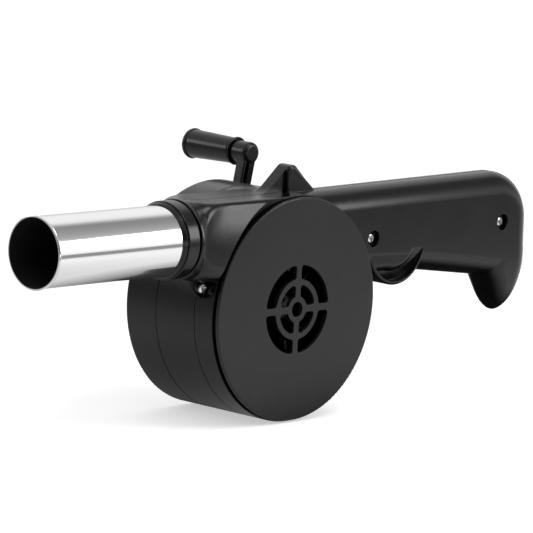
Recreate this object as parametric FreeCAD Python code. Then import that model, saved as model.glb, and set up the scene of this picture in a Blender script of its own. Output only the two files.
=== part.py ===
import FreeCAD, Part
import math
import os

# Hand crank forge blower, millimetres.
# Origin: centre of the nozzle mouth.  +X runs along the nozzle into the tool, towards the handle.
# +Y points to the crank side.  +Z is up.  The body halves part on the plane y = 0.

# ---- fan drum -------------------------------------------------------------------------------
DUCT_RUN = 60.0              # from the nozzle tube's inner end to the fan axis
FAN_Z = -32.0                # fan axis, below the nozzle axis
DRUM_R = 47.7                # outer radius of the drum bands
DRUM_WALL = 2.5
NEAR_EDGE_Y = -10.2          # near rim of the drum band
PARTITION_FAR_Y = 22.3       # seam between the far half and the gear case cover
PARTITION_T = 2.5            # wall between the fan chamber and the gear case
SEAM_W = 0.5                 # shadow line along the seams: width and depth
SEAM_DEPTH = 0.35
COVER_FAR_Y = 40.3           # outer face of the gear case cover
COVER_T = 2.5
EDGE_ROUND = 1.2             # rounding of the cover's outer edge

# ---- air inlet cover ------------------------------------------------------------------------
DISC_STEP = 0.7              # the disc is this much smaller than the drum
DISC_T = 1.8
DISC_GAP = 1.0               # shadow gap between the disc and the drum band
DISC_EDGE = 0.5
SPIGOT_H = 3.0               # spigot behind the disc
SPIGOT_T = 1.6
LEDGE_T = 1.8                # inner ledge that the spigot stands on
LEDGE_W = 2.4
CENTRE_HOLE_R = 3.2
HUB_RING_R = 5.5
INNER_SLOT_R = 10.5
RING_R = 12.8
OUTER_SLOT_R = 18.8
SPOKE_W = 2.9
SLOT_CORNER = 1.3

# ---- duct and nozzle ------------------------------------------------------------------------
TUBE_R = 14.5
TUBE_T = 0.5
TUBE_L = 80.0
LIP_R = 0.55                 # rolled bead around the mouth
SOCKET_L = 11.0              # length of the tube inside collar and duct
COLLAR_WALL = 1.7
COLLAR_LIP = 1.5             # length of the tapered ring at the collar's front
COLLAR_LIP_START = 0.45      # wall at the front and at the back of that ring
COLLAR_LIP_END = 1.25
COLLAR_GROOVE = 0.4          # width and depth of the line behind it
COLLAR_BAND = 6.2
NECK_WALL = 1.0              # neck between the collar and the duct
NECK_L = 0.8
RIDGE_WALL = 2.1             # round ridge at the duct's front
RIDGE_L = 1.7
RIDGE_STEP = 0.3             # the duct's flare starts this much below the ridge
COLLAR_ROUND = 0.4
FLARE_CORNER = 0.96          # corner radius of the flare's round end, as a share of its radius
FLARE_STEPS = 4              # sections that the leaning part of the flare is lofted through, less one
DUCT_FLARE_L = 18.0          # from the tube's inner end to where the duct is a plain box
DUCT_NEAR_L = 3.1            # the near side straightens over this length
DUCT_AIR_FLARE_L = 10.0      # from the tube's inner end to where the air way is a plain box
DUCT_CROWN = 3.0             # the near side's top leans in by this much
DUCT_CROWN_START = 0.1       # share of it at the front
DUCT_CROWN_Z = 0.0           # height at which the lean begins, and its rounding
DUCT_CROWN_R = 70.0
DUCT_NEAR_IN = 0.5           # the near side lies this much inside the tube's outline
DUCT_FAR_OUT = 5.0           # the other sides lie this much outside it
DUCT_TOP_OUT = 0.9
DUCT_BOTTOM_OUT = 3.5
DUCT_WALL = 2.2
DUCT_CORNER_NT = 2.4         # corner radii: near top, far top, far bottom, near bottom
DUCT_CORNER_FT = 5.0
DUCT_CORNER_FB = 5.0
DUCT_CORNER_NB = 7.0
DISC_CUTOUT_GAP = 3.0        # the near duct wall stops short of the disc by this gap
SOCKET_STOP_L = 1.4          # ledge behind the tube's end
SOCKET_STOP_H = 0.6

# ---- ears that screw the halves together ----------------------------------------------------
EAR_TOP_NEAR_T = 2.2
EAR_TOP_FAR_T = 5.6
EAR_TOP_RISE = 11.0          # top of the ear above the drum
EAR_TOP_BACK = 21.5          # foot of the rear slope, behind the fan axis
EAR_TOP_PEAK = 4.0           # peak of the far half, behind the fan axis
EAR_TOP_FRONT = -9.2         # foot of the far half's front slope, from the fan axis
EAR_TOP_STEP = 2.0           # upright front of the near half, from the fan axis
EAR_TOP_FLAT = 3.4           # length of the level top
EAR_TOP_ROUND = 3.6
EAR_STEP_ROUND = 1.8         # rounding of the near half's upright front, at its top
EAR_EDGE_ROUND = 1.2         # rounding of the near half's outer edge
EAR_FOOT_L = 10.0            # the far half's front runs out over this length
EAR_FOOT_ROUND = 11.0
EAR_FOOT_DROP = 0.1          # and starts this much below the duct's top
EAR_TOP_SINK = 2.1           # the ear's foot lies this much below the top of the drum
EAR_SCREW_RISE = 5.3         # screw above the drum
EAR_SCREW_BACK = 7.0         # screw behind the fan axis
EAR_PEG_R = 2.8              # peg of the near half that sits in the far half and takes the screw
EAR_PEG_L = 3.0
EAR_LOW_T = 4.0
EAR_LOW_TIP = (-48.6, -7.0)  # tip of the pad, from the fan axis and from the duct's floor
EAR_LOW_TIP_R = 1.2
EAR_LOW_RISE = 1.6           # the pad's front reaches this far into the duct's floor
EAR_LOW_FRONT = -61.6        # front and back of the pad, from the fan axis
EAR_LOW_BACK = -40.4
EAR_LOW_CLEAR_DUCT = 0.1     # free space between its screw head and the duct's floor
EAR_LOW_CLEAR_DRUM = 0.3     # and between the head and the drum

# ---- handle ---------------------------------------------------------------------------------
GRIP_HALF_T = 10.5
GRIP_ROUND = 9.0
GRIP_WALL = 2.6
# corners are (behind the drum, above the nozzle axis)
GRIP_TOP_Z = 15.4            # top line at the drum
GRIP_TOP_END = (102.9, 17.4)
GRIP_TOP_END_R = 22.0
GRIP_END_LOW = (104.8, -31.8)
GRIP_END_LOW_R = 9.6
GRIP_BOTTOM_START_Z = -19.0
GRIP_BOTTOM_MID = (33.3, -22.6)
GRIP_BOTTOM_MID_R = 120.0
# the tail's level sections: height, front, back and half thickness, going down
TAIL_SECTIONS = ((-17.0, 77.0, 104.5, 10.47), (-21.5, 77.3, 104.5, 10.47), (-26.5, 78.8, 103.9, 10.3),
                 (-31.5, 81.6, 102.5, 9.7), (-36.5, 84.4, 100.2, 8.4), (-40.8, 86.9, 97.4, 6.2),
                 (-43.6, 89.0, 94.9, 3.7), (-45.0, 90.8, 92.9, 1.3))
FINGER_CENTRE = (15.9, -9.3)  # round finger stop under the handle
FINGER_R = 17.8
FINGER_HALF_T = 10.4
FINGER_ROUND = 1.4
FINGER_WALL = 2.4
DISH_R = 16.3                # dished flank of the finger stop
DISH_TOP_Z = -11.5          # the dish starts at this height and deepens downwards
DISH_DEPTH = 5.0             # depth at the foot of the finger stop
DISH_MIDDLE = (14.7, -4.8)   # raised middle inside the dish: centre, radius and edge rounding
DISH_MIDDLE_R = 16.7
DISH_MIDDLE_ROUND = 4.5
DISH_MIDDLE_LOW = -21.0      # in front of its centre the raised middle reaches down to this height
GRIP_HOLES = ((0.2, -6.0), (83.7, -4.4))

# ---- screws ---------------------------------------------------------------------------------
SCREW_R = 1.5
SCREW_HEAD_R = 2.25
SCREW_HEAD_H = 1.8
SCREW_FIT = 0.03             # play of a screw in its hole
SCREW_BITE = 7.0             # length of a handle screw in the far half
COUNTERBORE_R = 3.6
COUNTERBORE_DEPTH = 3.3
BOSS_WALL = 1.9
RECESS_W = 0.9               # cross recess: slot width, reach and depth
RECESS_R = 1.5
RECESS_DEPTH = 1.3
HEAD_CROWN = 0.55            # rounding of a head's rim, as a share of its height
POINT_FLAT = 0.4             # flat at a screw's tip, as a share of its radius
CASE_SCREW_ANGLES = (75.0, 195.0, 315.0)
CASE_SCREW_INSET = 4.9       # from the drum's inner wall to the screw's axis
CASE_SCREW_BITE = 1.8

# ---- gear train -----------------------------------------------------------------------------
PRESSURE_ANGLE = 25.0
ADDENDUM = 0.8
DEDENDUM = 1.0
BACKLASH = 0.24
CRANK_TEETH = 48
IDLER_SMALL_TEETH = 12
IDLER_LARGE_TEETH = 36
FAN_TEETH = 12
CRANK_GEAR_GAP = 1.9         # free space between the crank gear and the drum wall
IDLER_GAP = 2.4              # free space between the idler and the drum wall
FAN_PINION_L = 4.4
PLANE_GAP = 1.3              # free space beside each wheel
CRANK_GEAR_T = 4.2
WEB_T = 1.8
RIM_W = 2.4

# ---- shafts, bushes and the fan -------------------------------------------------------------
RUN_FIT = 0.04               # radial play of a running fit
SLIP = 0.3                   # end play between turning and still faces
FAN_SHAFT_R = 2.0
FAN_BUSH_R = 4.5
FAN_BUSH_L = 7.9
BUSH_FLANGE_T = 1.0
BUSH_FLANGE_W = 1.6
BOSS_T = 2.6                 # wall of the bearing bosses
BOSS_FAN_Y = 16.0            # bearing bosses reach this far into the fan chamber
IMPELLER_GAP = 7.2           # free space between the impeller and the drum wall
IMPELLER_NEAR_Y = -4.6
IMPELLER_BACK_Y = 13.6
IMPELLER_BACK_T = 1.5
IMPELLER_HUB_R = 6.0
BLADES = 9
BLADE_T = 1.3
BLADE_ROOT_R = 15.0
BLADE_SWEEP = 22.0           # degrees that a blade's tip trails its root
BLADE_MID_TURN = 0.32        # share of the sweep that is reached at the blade's middle
IMPELLER_ROUND = 0.6
NUT_R = 3.5
NUT_T = 2.2
SHAFT_END = 0.8              # shaft end beyond the nut
IDLER_AXLE_R = 2.0
IDLER_HUB_R = 4.0
IDLER_AXLE_SEAT = 2.6        # depth of the axle in the cover's boss
CLIP_R = 4.4
CLIP_T = 0.7
CLIP_OPEN = 1.4              # half width of the clip's opening
CRANK_SHAFT_R = 4.0
CRANK_BUSH_R = 6.0
CRANK_BUSH_L = 5.0
CRANK_BUSH_INNER_L = 3.6
CRANK_BOSS_H = 1.7           # raised ring around the crank shaft outside the cover
CRANK_HUB_R = 8.0
SHAFT_FLAT = 0.72            # height of the shaft's flat above its axis, as a share of its radius

# ---- crank arm and knob ---------------------------------------------------------------------
WASHER_R = 7.0
WASHER_T = 0.6
ARM_L = 57.25                # crank axis to knob axis
ARM_LEAN = 11.1              # degrees the arm leans towards the handle
ARM_NEAR_Y = 46.0
ARM_T = 5.1
ARM_W = 6.6
ARM_RIB = 0.9                # width of the rib along the arm's front edge
ARM_CHANNEL_W = 2.2          # the channel behind that rib
ARM_CHANNEL = 2.2
ARM_BOSS_R = 7.4
ARM_CAP_T = 1.6              # wall between the shaft's end and the screw head
ARM_ROUND = 0.6
KNOB_HUB_R = 4.8
KNOB_HUB_NEAR_Y = 45.5
KNOB_HUB_FAR_Y = 54.3
KNOB_HUB_ROUND = 1.8
ARM_SCREW_R = 1.5
ARM_SCREW_HEAD_R = 3.2
ARM_SCREW_HEAD_H = 2.0
ARM_SCREW_L = 9.0
KNOB_L = 26.8
KNOB_R_ARM = 5.55
KNOB_R_END = 6.15
KNOB_RIM_R = 6.65            # raised rim at the free end
KNOB_RIM_L = 0.9
KNOB_RIM_FLARE = 0.6         # length over which the grip widens to the rim
KNOB_SKIRT_R = 6.1
KNOB_SKIRT_L = 1.0
KNOB_SKIRT_GROOVE = 0.5      # width and depth of the line behind the skirt
KNOB_RECESS_R = 5.3          # hollow face at the arm's side
KNOB_RECESS_DEPTH = 0.7
KNOB_ROUND = 0.4
KNOB_CAP_DOME = 3.0
KNOB_CAP_BAND = 0.5          # straight rim under the dome
KNOB_CAP_STEP = 0.3          # the cap is this much smaller than the knob's rim
KNOB_CAP_PLUG = 2.0
KNOB_CAVITY_R = 4.6
KNOB_CAVITY_L = 6.0
PIN_R = 2.2
PIN_HEAD_R = 3.6
PIN_HEAD_T = 1.6
PIN_SEAT = 5.0               # length of the pin in the arm's hub

# ---- places worked out from the sizes above -------------------------------------------------
FAN_X = TUBE_L + DUCT_RUN
DRUM_IN_R = DRUM_R - DRUM_WALL
DRUM_TOP_Z = FAN_Z + DRUM_R
DISC_R = DRUM_R - DISC_STEP
DISC_CUTOUT_R = DISC_R + DISC_CUTOUT_GAP
IMPELLER_R = DRUM_IN_R - IMPELLER_GAP
EAR_TOP_Z = DRUM_TOP_Z + EAR_TOP_RISE
EAR_FOOT_Z = DRUM_TOP_Z - EAR_TOP_SINK
COLLAR_X = TUBE_L - SOCKET_L
COLLAR_R = TUBE_R + COLLAR_WALL
NECK_R = TUBE_R + NECK_WALL
RIDGE_R = TUBE_R + RIDGE_WALL
DUCT_NEAR_Y = DUCT_NEAR_IN - TUBE_R
DUCT_FAR_Y = TUBE_R + DUCT_FAR_OUT
DUCT_TOP_Z = TUBE_R + DUCT_TOP_OUT
DUCT_BOTTOM_Z = -TUBE_R - DUCT_BOTTOM_OUT
DUCT_RECT_X = TUBE_L + DUCT_FLARE_L
DISC_BACK_Y = NEAR_EDGE_Y - DISC_GAP
DISC_FACE_Y = DISC_BACK_Y - DISC_T
LEDGE_Y = DISC_BACK_Y + SPIGOT_H
CHAMBER_NEAR_Y = LEDGE_Y + LEDGE_T
PARTITION_NEAR_Y = PARTITION_FAR_Y - PARTITION_T
COVER_IN_Y = COVER_FAR_Y - COVER_T
SOCKET_R = TUBE_R + SCREW_FIT
TUBE_IN_R = TUBE_R - TUBE_T
COLLAR_END_X = COLLAR_X + COLLAR_LIP + COLLAR_GROOVE + COLLAR_BAND
RIDGE_X = COLLAR_END_X + NECK_L
# the module is as large as the drum leaves room for: fan pinion, idler and the idler's tooth tips
MODULE = (DRUM_IN_R - IDLER_GAP) / (FAN_TEETH / 2 + IDLER_LARGE_TEETH + ADDENDUM)
CRANK_X = FAN_X + DRUM_IN_R - CRANK_GEAR_GAP - MODULE * (CRANK_TEETH / 2 + ADDENDUM)
CRANK_Z = FAN_Z
CASE_SEAT_Y = COVER_FAR_Y - SCREW_HEAD_H - SLIP
GRIP_SEAT_Y = COUNTERBORE_DEPTH - GRIP_HALF_T
FAN_BUSH_Y = PARTITION_FAR_Y + BUSH_FLANGE_T - FAN_BUSH_L
FAN_PINION_Y = PARTITION_FAR_Y + BUSH_FLANGE_T + SLIP
FAN_PINION_END = FAN_PINION_Y + FAN_PINION_L
CRANK_GEAR_Y = FAN_PINION_END + PLANE_GAP
CRANK_GEAR_END = CRANK_GEAR_Y + CRANK_GEAR_T
IMPELLER_HUB_END = FAN_BUSH_Y - SLIP
COVER_BUSH_Y = COVER_FAR_Y + CRANK_BOSS_H - CRANK_BUSH_L
CRANK_BUSH_IN_Y = PARTITION_FAR_Y - CRANK_BUSH_INNER_L
ARM_BOSS_Y = COVER_FAR_Y + CRANK_BOSS_H + WASHER_T + SLIP
ARM_FAR_Y = ARM_NEAR_Y + ARM_T
SHAFT_FAR_Y = ARM_FAR_Y - ARM_CAP_T
LEAN = math.radians(ARM_LEAN)
KNOB_X = CRANK_X + ARM_L * math.sin(LEAN)
KNOB_Z = CRANK_Z + ARM_L * math.cos(LEAN)
KNOB_NEAR_Y = KNOB_HUB_FAR_Y + SLIP
KNOB_FAR_Y = KNOB_NEAR_Y + KNOB_L

EXTRA = 1.0                  # overrun of cutting tools
TOLERANCE = 1e-6
FAR_REACH = 400.0            # half size of the tools that split the body


def wheel_centre(first, second, reach_first, reach_second):
    """Centre of a wheel that meshes with two others, on the low side of their common line."""
    span = second[0] - first[0]
    along = (reach_first ** 2 - reach_second ** 2 + span ** 2) / (2 * span)
    return (first[0] + along, first[1] - math.sqrt(reach_first ** 2 - along ** 2))


def pitch_r(teeth):
    return MODULE * teeth / 2


def behind_drum(place):
    """Turns (behind the drum, above the nozzle axis) into (x, z)."""
    return (FAN_X + DRUM_R + place[0], place[1])


def under_duct(place):
    """Turns (from the fan axis, from the duct's floor) into (x, z)."""
    return (FAN_X + place[0], DUCT_BOTTOM_Z + place[1])


def between_duct_and_drum(head_r):
    """Place of a round head in the corner in front of the drum and below the duct."""
    z = DUCT_BOTTOM_Z - head_r - EAR_LOW_CLEAR_DUCT
    reach = DRUM_R + head_r + EAR_LOW_CLEAR_DRUM
    return (FAN_X - math.sqrt(reach ** 2 - (FAN_Z - z) ** 2), z)


FAN_AXIS = (FAN_X, FAN_Z)
FINGER_AXIS = behind_drum(FINGER_CENTRE)
GRIP_SCREWS = [behind_drum(hole) for hole in GRIP_HOLES]
EAR_LOW_SCREW = between_duct_and_drum(SCREW_HEAD_R)
CRANK_AXIS = (CRANK_X, CRANK_Z)
KNOB_AXIS = (KNOB_X, KNOB_Z)
IDLER_AXIS = wheel_centre(FAN_AXIS, CRANK_AXIS,
                          pitch_r(FAN_TEETH) + pitch_r(IDLER_LARGE_TEETH),
                          pitch_r(CRANK_TEETH) + pitch_r(IDLER_SMALL_TEETH))


# ---- helpers --------------------------------------------------------------------------------
def at_y(y):
    """Maps outline coordinates to a plane of constant y."""
    return lambda u, v: FreeCAD.Vector(u, y, v)


def at_x(x):
    """Maps outline coordinates to a plane of constant x."""
    return lambda u, v: FreeCAD.Vector(x, u, v)


def at_z(z):
    """Maps outline coordinates to a plane of constant z."""
    return lambda u, v: FreeCAD.Vector(u, v, z)


def line(start, end):
    return Part.LineSegment(start, end).toShape()


def outline(corners, place):
    """Closed wire through corners (u, v, radius); a radius of 0 leaves a sharp corner."""
    stops = []
    count = len(corners)
    for i, (u, v, radius) in enumerate(corners):
        back = (corners[i - 1][0] - u, corners[i - 1][1] - v)
        ahead = (corners[(i + 1) % count][0] - u, corners[(i + 1) % count][1] - v)
        back_len = math.hypot(*back)
        ahead_len = math.hypot(*ahead)
        back = (back[0] / back_len, back[1] / back_len)
        ahead = (ahead[0] / ahead_len, ahead[1] / ahead_len)
        if radius == 0:
            stops.append((place(u, v), None, place(u, v)))
            continue
        half = math.acos(back[0] * ahead[0] + back[1] * ahead[1]) / 2
        cut = radius / math.tan(half)
        middle = radius / math.sin(half) - radius
        bisector = (back[0] + ahead[0], back[1] + ahead[1])
        length = math.hypot(*bisector)
        stops.append((place(u + back[0] * cut, v + back[1] * cut),
                      place(u + bisector[0] / length * middle, v + bisector[1] / length * middle),
                      place(u + ahead[0] * cut, v + ahead[1] * cut)))
    edges = []
    for i, (start, middle, end) in enumerate(stops):
        if middle is not None:
            edges.append(Part.Arc(start, middle, end).toShape())
        following = stops[(i + 1) % count][0]
        edges.append(line(end, following))
    return Part.Wire(edges)


def plate(corners, y_from, y_to):
    """Flat plate with the given outline between two values of y."""
    face = Part.Face(outline(corners, at_y(y_from)))
    return face.extrude(FreeCAD.Vector(0, y_to - y_from, 0))


def rod(radius, y_from, y_to, axis):
    """Round bar along Y."""
    base = FreeCAD.Vector(axis[0], y_from, axis[1])
    return Part.makeCylinder(radius, y_to - y_from, base, FreeCAD.Vector(0, 1, 0))


def ring(outer, inner, y_from, y_to, axis):
    """Round tube along Y."""
    return rod(outer, y_from, y_to, axis).cut(rod(inner, y_from - EXTRA, y_to + EXTRA, axis))


def turned(profile, axis):
    """Solid turned about a line along Y; the profile is a list of (radius, y, corner radius)."""
    face = Part.Face(outline(profile, lambda r, y: FreeCAD.Vector(axis[0] + r, y, axis[1])))
    return face.revolve(FreeCAD.Vector(axis[0], 0, axis[1]), FreeCAD.Vector(0, 1, 0), 360)


def turned_x(profile):
    """Solid turned about the nozzle axis; the profile is a list of (x, radius, corner radius)."""
    face = Part.Face(outline(profile, lambda x, r: FreeCAD.Vector(x, 0, r)))
    return face.revolve(FreeCAD.Vector(0, 0, 0), FreeCAD.Vector(1, 0, 0), 360)


def box(x, y, z):
    """Box from three (low, high) pairs."""
    return Part.makeBox(x[1] - x[0], y[1] - y[0], z[1] - z[0], FreeCAD.Vector(x[0], y[0], z[0]))


def turn_about_y(shape, axis, degrees):
    copy = shape.copy()
    copy.rotate(FreeCAD.Vector(axis[0], 0, axis[1]), FreeCAD.Vector(0, 1, 0), degrees)
    return copy


def far_side():
    return box((-FAR_REACH, FAR_REACH), (0, FAR_REACH), (-FAR_REACH, FAR_REACH))


def near_side():
    return box((-FAR_REACH, FAR_REACH), (-FAR_REACH, 0), (-FAR_REACH, FAR_REACH))


def edges_on_plane(shape, y):
    """Edges of a plate that lie in one of its flat sides."""
    found = []
    for edge in shape.Edges:
        if abs(edge.BoundBox.YMin - y) < TOLERANCE and abs(edge.BoundBox.YMax - y) < TOLERANCE:
            found.append(edge)
    return found


# ---- body: outside --------------------------------------------------------------------------
def duct_section(x, inset):
    """Box section of the duct, shrunk by inset on every side."""
    near = DUCT_NEAR_Y + inset
    far = DUCT_FAR_Y - inset
    top = DUCT_TOP_Z - inset
    low = DUCT_BOTTOM_Z + inset
    shrink = inset / 2
    return outline([(near + DUCT_CROWN, top, DUCT_CORNER_NT - shrink), (far, top, DUCT_CORNER_FT - shrink),
                    (far, low, DUCT_CORNER_FB - shrink), (near, low, DUCT_CORNER_NB - shrink),
                    (near, DUCT_CROWN_Z, DUCT_CROWN_R)], at_x(x))


def air_section(x):
    """Box section of the air way inside the duct; its near side leans in evenly."""
    near = DUCT_NEAR_Y + DUCT_WALL
    far = DUCT_FAR_Y - DUCT_WALL
    top = DUCT_TOP_Z - DUCT_WALL
    low = DUCT_BOTTOM_Z + DUCT_WALL
    shrink = DUCT_WALL / 2
    return outline([(near + DUCT_CROWN, top, DUCT_CORNER_NT - shrink), (far, top, DUCT_CORNER_FT - shrink),
                    (far, low, DUCT_CORNER_FB - shrink), (near, low, DUCT_CORNER_NB - shrink)],
                   at_x(x))


def round_section(x, radius):
    """Nearly round section with four short flats, so that it lofts to the box section."""
    corner = radius * FLARE_CORNER
    return outline([(-radius, radius, corner), (radius, radius, corner),
                    (radius, -radius, corner), (-radius, -radius, corner)], at_x(x))


def flare_section(share, inset):
    """Section of the flare between its round front (share 0) and the box section (share 1)."""
    start = RIDGE_X + RIDGE_L
    length = DUCT_RECT_X - start
    radius = RIDGE_R - RIDGE_STEP
    near_share = min(share * length / DUCT_NEAR_L, 1)
    grown = 1 - (1 - share) ** 2
    near_grown = 1 - (1 - share) ** 3
    near = near_share * DUCT_NEAR_Y - (1 - near_share) * radius + inset
    far = radius + (DUCT_FAR_Y - radius) * grown - inset
    top = radius + (DUCT_TOP_Z - radius) * grown - inset
    low = -radius + (DUCT_BOTTOM_Z + radius) * grown + inset
    round_corner = radius * FLARE_CORNER
    corners = [round_corner + (end - round_corner) * pace - inset / 2
               for end, pace in ((DUCT_CORNER_NT, near_grown), (DUCT_CORNER_FT, grown),
                                 (DUCT_CORNER_FB, grown), (DUCT_CORNER_NB, near_grown))]
    along = max(share * length - DUCT_NEAR_L, 0) / (length - DUCT_NEAR_L)
    crown = DUCT_CROWN * (1 - (1 - DUCT_CROWN_START) * (1 - along) ** 2) * max(near_share, DUCT_CROWN_START)
    return outline([(near + crown, top, corners[0]), (far, top, corners[1]), (far, low, corners[2]),
                    (near, low, corners[3]), (near, DUCT_CROWN_Z, DUCT_CROWN_R)],
                   at_x(start + length * share))


def duct_body(inset):
    """Flare and box of the duct, shrunk by inset on every side."""
    near_end = DUCT_NEAR_L / (DUCT_RECT_X - RIDGE_X - RIDGE_L)
    shares = [near_end + (1 - near_end) * step / FLARE_STEPS for step in range(FLARE_STEPS + 1)]
    front = Part.makeLoft([flare_section(0, inset), flare_section(near_end, inset)], True, True)
    flare = Part.makeLoft([flare_section(share, inset) for share in shares], True, False)
    run = Part.Face(duct_section(DUCT_RECT_X, inset)).extrude(FreeCAD.Vector(FAN_X - DUCT_RECT_X, 0, 0))
    return front.fuse([flare, run])


def duct_outside():
    ridge = turned_x([(RIDGE_X, 0, 0), (RIDGE_X, RIDGE_R, COLLAR_ROUND),
                      (RIDGE_X + RIDGE_L, RIDGE_R, COLLAR_ROUND), (RIDGE_X + RIDGE_L, 0, 0)])
    over_disc = rod(DISC_CUTOUT_R, DUCT_NEAR_Y - FAR_REACH, NEAR_EDGE_Y, FAN_AXIS)
    return ridge.fuse(duct_body(0)).cut(over_disc)


def duct_inside():
    """Air way from the tube's socket to the fan chamber, with a ledge behind the tube's end."""
    stop_r = TUBE_IN_R - SOCKET_STOP_H
    socket = Part.makeCylinder(SOCKET_R, TUBE_L - COLLAR_X, FreeCAD.Vector(COLLAR_X, 0, 0),
                               FreeCAD.Vector(1, 0, 0))
    stop = Part.makeCylinder(stop_r, SOCKET_STOP_L + EXTRA, FreeCAD.Vector(TUBE_L - EXTRA / 2, 0, 0),
                             FreeCAD.Vector(1, 0, 0))
    rect_x = TUBE_L + DUCT_AIR_FLARE_L
    flare = Part.makeLoft([round_section(TUBE_L + SOCKET_STOP_L, stop_r), air_section(rect_x)], True, True)
    run = Part.Face(air_section(rect_x)).extrude(FreeCAD.Vector(FAN_X - rect_x, 0, 0))
    floor = rod(DISC_CUTOUT_R + DUCT_WALL, DUCT_NEAR_Y, CHAMBER_NEAR_Y, FAN_AXIS)
    return socket.fuse([stop, flare, run]).cut(floor)


def grip_corners():
    """Side outline of the handle, starting inside the drum."""
    rounded = [(GRIP_TOP_END, GRIP_TOP_END_R), (GRIP_END_LOW, GRIP_END_LOW_R),
               (GRIP_BOTTOM_MID, GRIP_BOTTOM_MID_R)]
    corners = [behind_drum(corner) + (radius,) for corner, radius in rounded]
    return [(FAN_X, GRIP_TOP_Z, 0)] + corners + [(FAN_X, GRIP_BOTTOM_START_Z, 0)]


def grip_block(inset, rounding):
    """Handle block with rounded long edges, shrunk by inset on every side."""
    half = GRIP_HALF_T - inset
    side = Part.Face(outline(grip_corners(), at_y(-half)))
    if inset > 0:
        side = side.makeOffset2D(-inset)
    block = side.extrude(FreeCAD.Vector(0, 2 * half, 0))
    front = block.BoundBox.XMin + EXTRA
    edges = [e for e in edges_on_plane(block, -half) + edges_on_plane(block, half)
             if e.BoundBox.XMax > front]
    return block.makeFillet(rounding, edges)


def tail_section(row, inset):
    height, front, back, half = row
    start = behind_drum((front + inset, height))[0]
    end = behind_drum((back - inset, height))[0]
    half = half - inset
    corner = GRIP_ROUND / GRIP_HALF_T * min(half, (end - start) / 2)
    return outline([(start, -half, corner), (end, -half, corner), (end, half, corner),
                    (start, half, corner)], at_z(height))


def tail(inset):
    """Egg-shaped end that hangs below the handle's rear, shrunk by inset on every side."""
    rows = [row for row in TAIL_SECTIONS if row[3] > 2 * inset]
    return Part.makeLoft([tail_section(row, inset) for row in rows], True, False)


def finger_stop(radius, half, rounding):
    return turned([(0, -half, 0), (radius, -half, rounding), (radius, half, rounding), (0, half, 0)],
                  FINGER_AXIS)


def finger_dish():
    """Tool that dishes the near flank of the finger stop, deeper towards its foot."""
    foot_z = FINGER_AXIS[1] - FINGER_R
    slope = DISH_DEPTH / (DISH_TOP_Z - foot_z)
    disc = rod(DISH_R, -GRIP_HALF_T - EXTRA, 0, FINGER_AXIS)
    middle_axis = behind_drum(DISH_MIDDLE)
    middle = turned([(0, -GRIP_HALF_T, 0), (DISH_MIDDLE_R, -GRIP_HALF_T, DISH_MIDDLE_ROUND),
                     (DISH_MIDDLE_R, EXTRA, 0), (0, EXTRA, 0)], middle_axis)
    front_corners = [(-GRIP_HALF_T, DISH_MIDDLE_LOW, DISH_MIDDLE_ROUND), (EXTRA, DISH_MIDDLE_LOW, 0),
                     (EXTRA, middle_axis[1], 0), (-GRIP_HALF_T, middle_axis[1], 0)]
    front = Part.Face(outline(front_corners, at_x(middle_axis[0]))).extrude(
        FreeCAD.Vector(-2 * FINGER_R, 0, 0))
    low = foot_z - EXTRA
    wedge_points = [(-GRIP_HALF_T - EXTRA, DISH_TOP_Z + EXTRA / slope, 0),
                    (-GRIP_HALF_T - EXTRA, low, 0),
                    (-GRIP_HALF_T + slope * (DISH_TOP_Z - low), low, 0)]
    wedge = Part.Face(outline(wedge_points, at_x(FINGER_AXIS[0] - FINGER_R))).extrude(
        FreeCAD.Vector(2 * FINGER_R, 0, 0))
    return disc.cut([middle, front]).common(wedge)


def top_ear_near():
    """Near half of the upper ear: an upright front and a rear slope, with a rounded outer edge."""
    front = FAN_X + EAR_TOP_STEP
    ear = plate([(front, EAR_FOOT_Z, 0), (front, EAR_TOP_Z, EAR_STEP_ROUND),
                 (front + EAR_TOP_FLAT, EAR_TOP_Z, EAR_TOP_ROUND),
                 (FAN_X + EAR_TOP_BACK, EAR_FOOT_Z, 0)], -EAR_TOP_NEAR_T, 0)
    rim = [e for e in edges_on_plane(ear, -EAR_TOP_NEAR_T) if e.BoundBox.ZMax > DRUM_TOP_Z]
    return ear.makeFillet(EAR_EDGE_ROUND, rim)


def top_ear_far():
    """Far half of the upper ear: a hill whose front runs out over the duct."""
    foot = FAN_X + EAR_TOP_FRONT
    peak = FAN_X + EAR_TOP_PEAK
    foot_z = DUCT_TOP_Z - EAR_FOOT_DROP
    return plate([(foot - EAR_FOOT_L, EAR_FOOT_Z, 0), (foot - EAR_FOOT_L, foot_z, 0),
                  (foot, foot_z, EAR_FOOT_ROUND), (peak, EAR_TOP_Z, EAR_TOP_ROUND),
                  (peak + EAR_TOP_FLAT, EAR_TOP_Z, EAR_TOP_ROUND),
                  (FAN_X + EAR_TOP_BACK, EAR_FOOT_Z, 0)], 0, EAR_TOP_FAR_T)


def low_ear():
    """Lower ear: a triangular pad in the corner between duct and drum."""
    root = DUCT_WALL / 2
    return plate([under_duct((EAR_LOW_FRONT, root + EAR_LOW_RISE)) + (0,),
                  under_duct(EAR_LOW_TIP) + (EAR_LOW_TIP_R,),
                  under_duct((EAR_LOW_BACK, 0)) + (0,), under_duct((EAR_LOW_BACK, root)) + (0,)],
                 -EAR_LOW_T, EAR_LOW_T)


def body_outside():
    drum = rod(DRUM_R, NEAR_EDGE_Y, PARTITION_FAR_Y, FAN_AXIS)
    dish = finger_dish()
    stop = finger_stop(FINGER_R, FINGER_HALF_T, FINGER_ROUND)
    grip = grip_block(0, GRIP_ROUND).fuse(stop).cut([dish, dish.mirror(FreeCAD.Vector(0, 0, 0),
                                                                       FreeCAD.Vector(0, 1, 0))])
    ears = [top_ear_near(), top_ear_far(), low_ear()]
    body = drum.fuse([duct_outside(), grip, tail(0)] + ears)
    return body.cut([seam_groove(ears + [stop, tail(0)]), case_seam_groove()])


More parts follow.
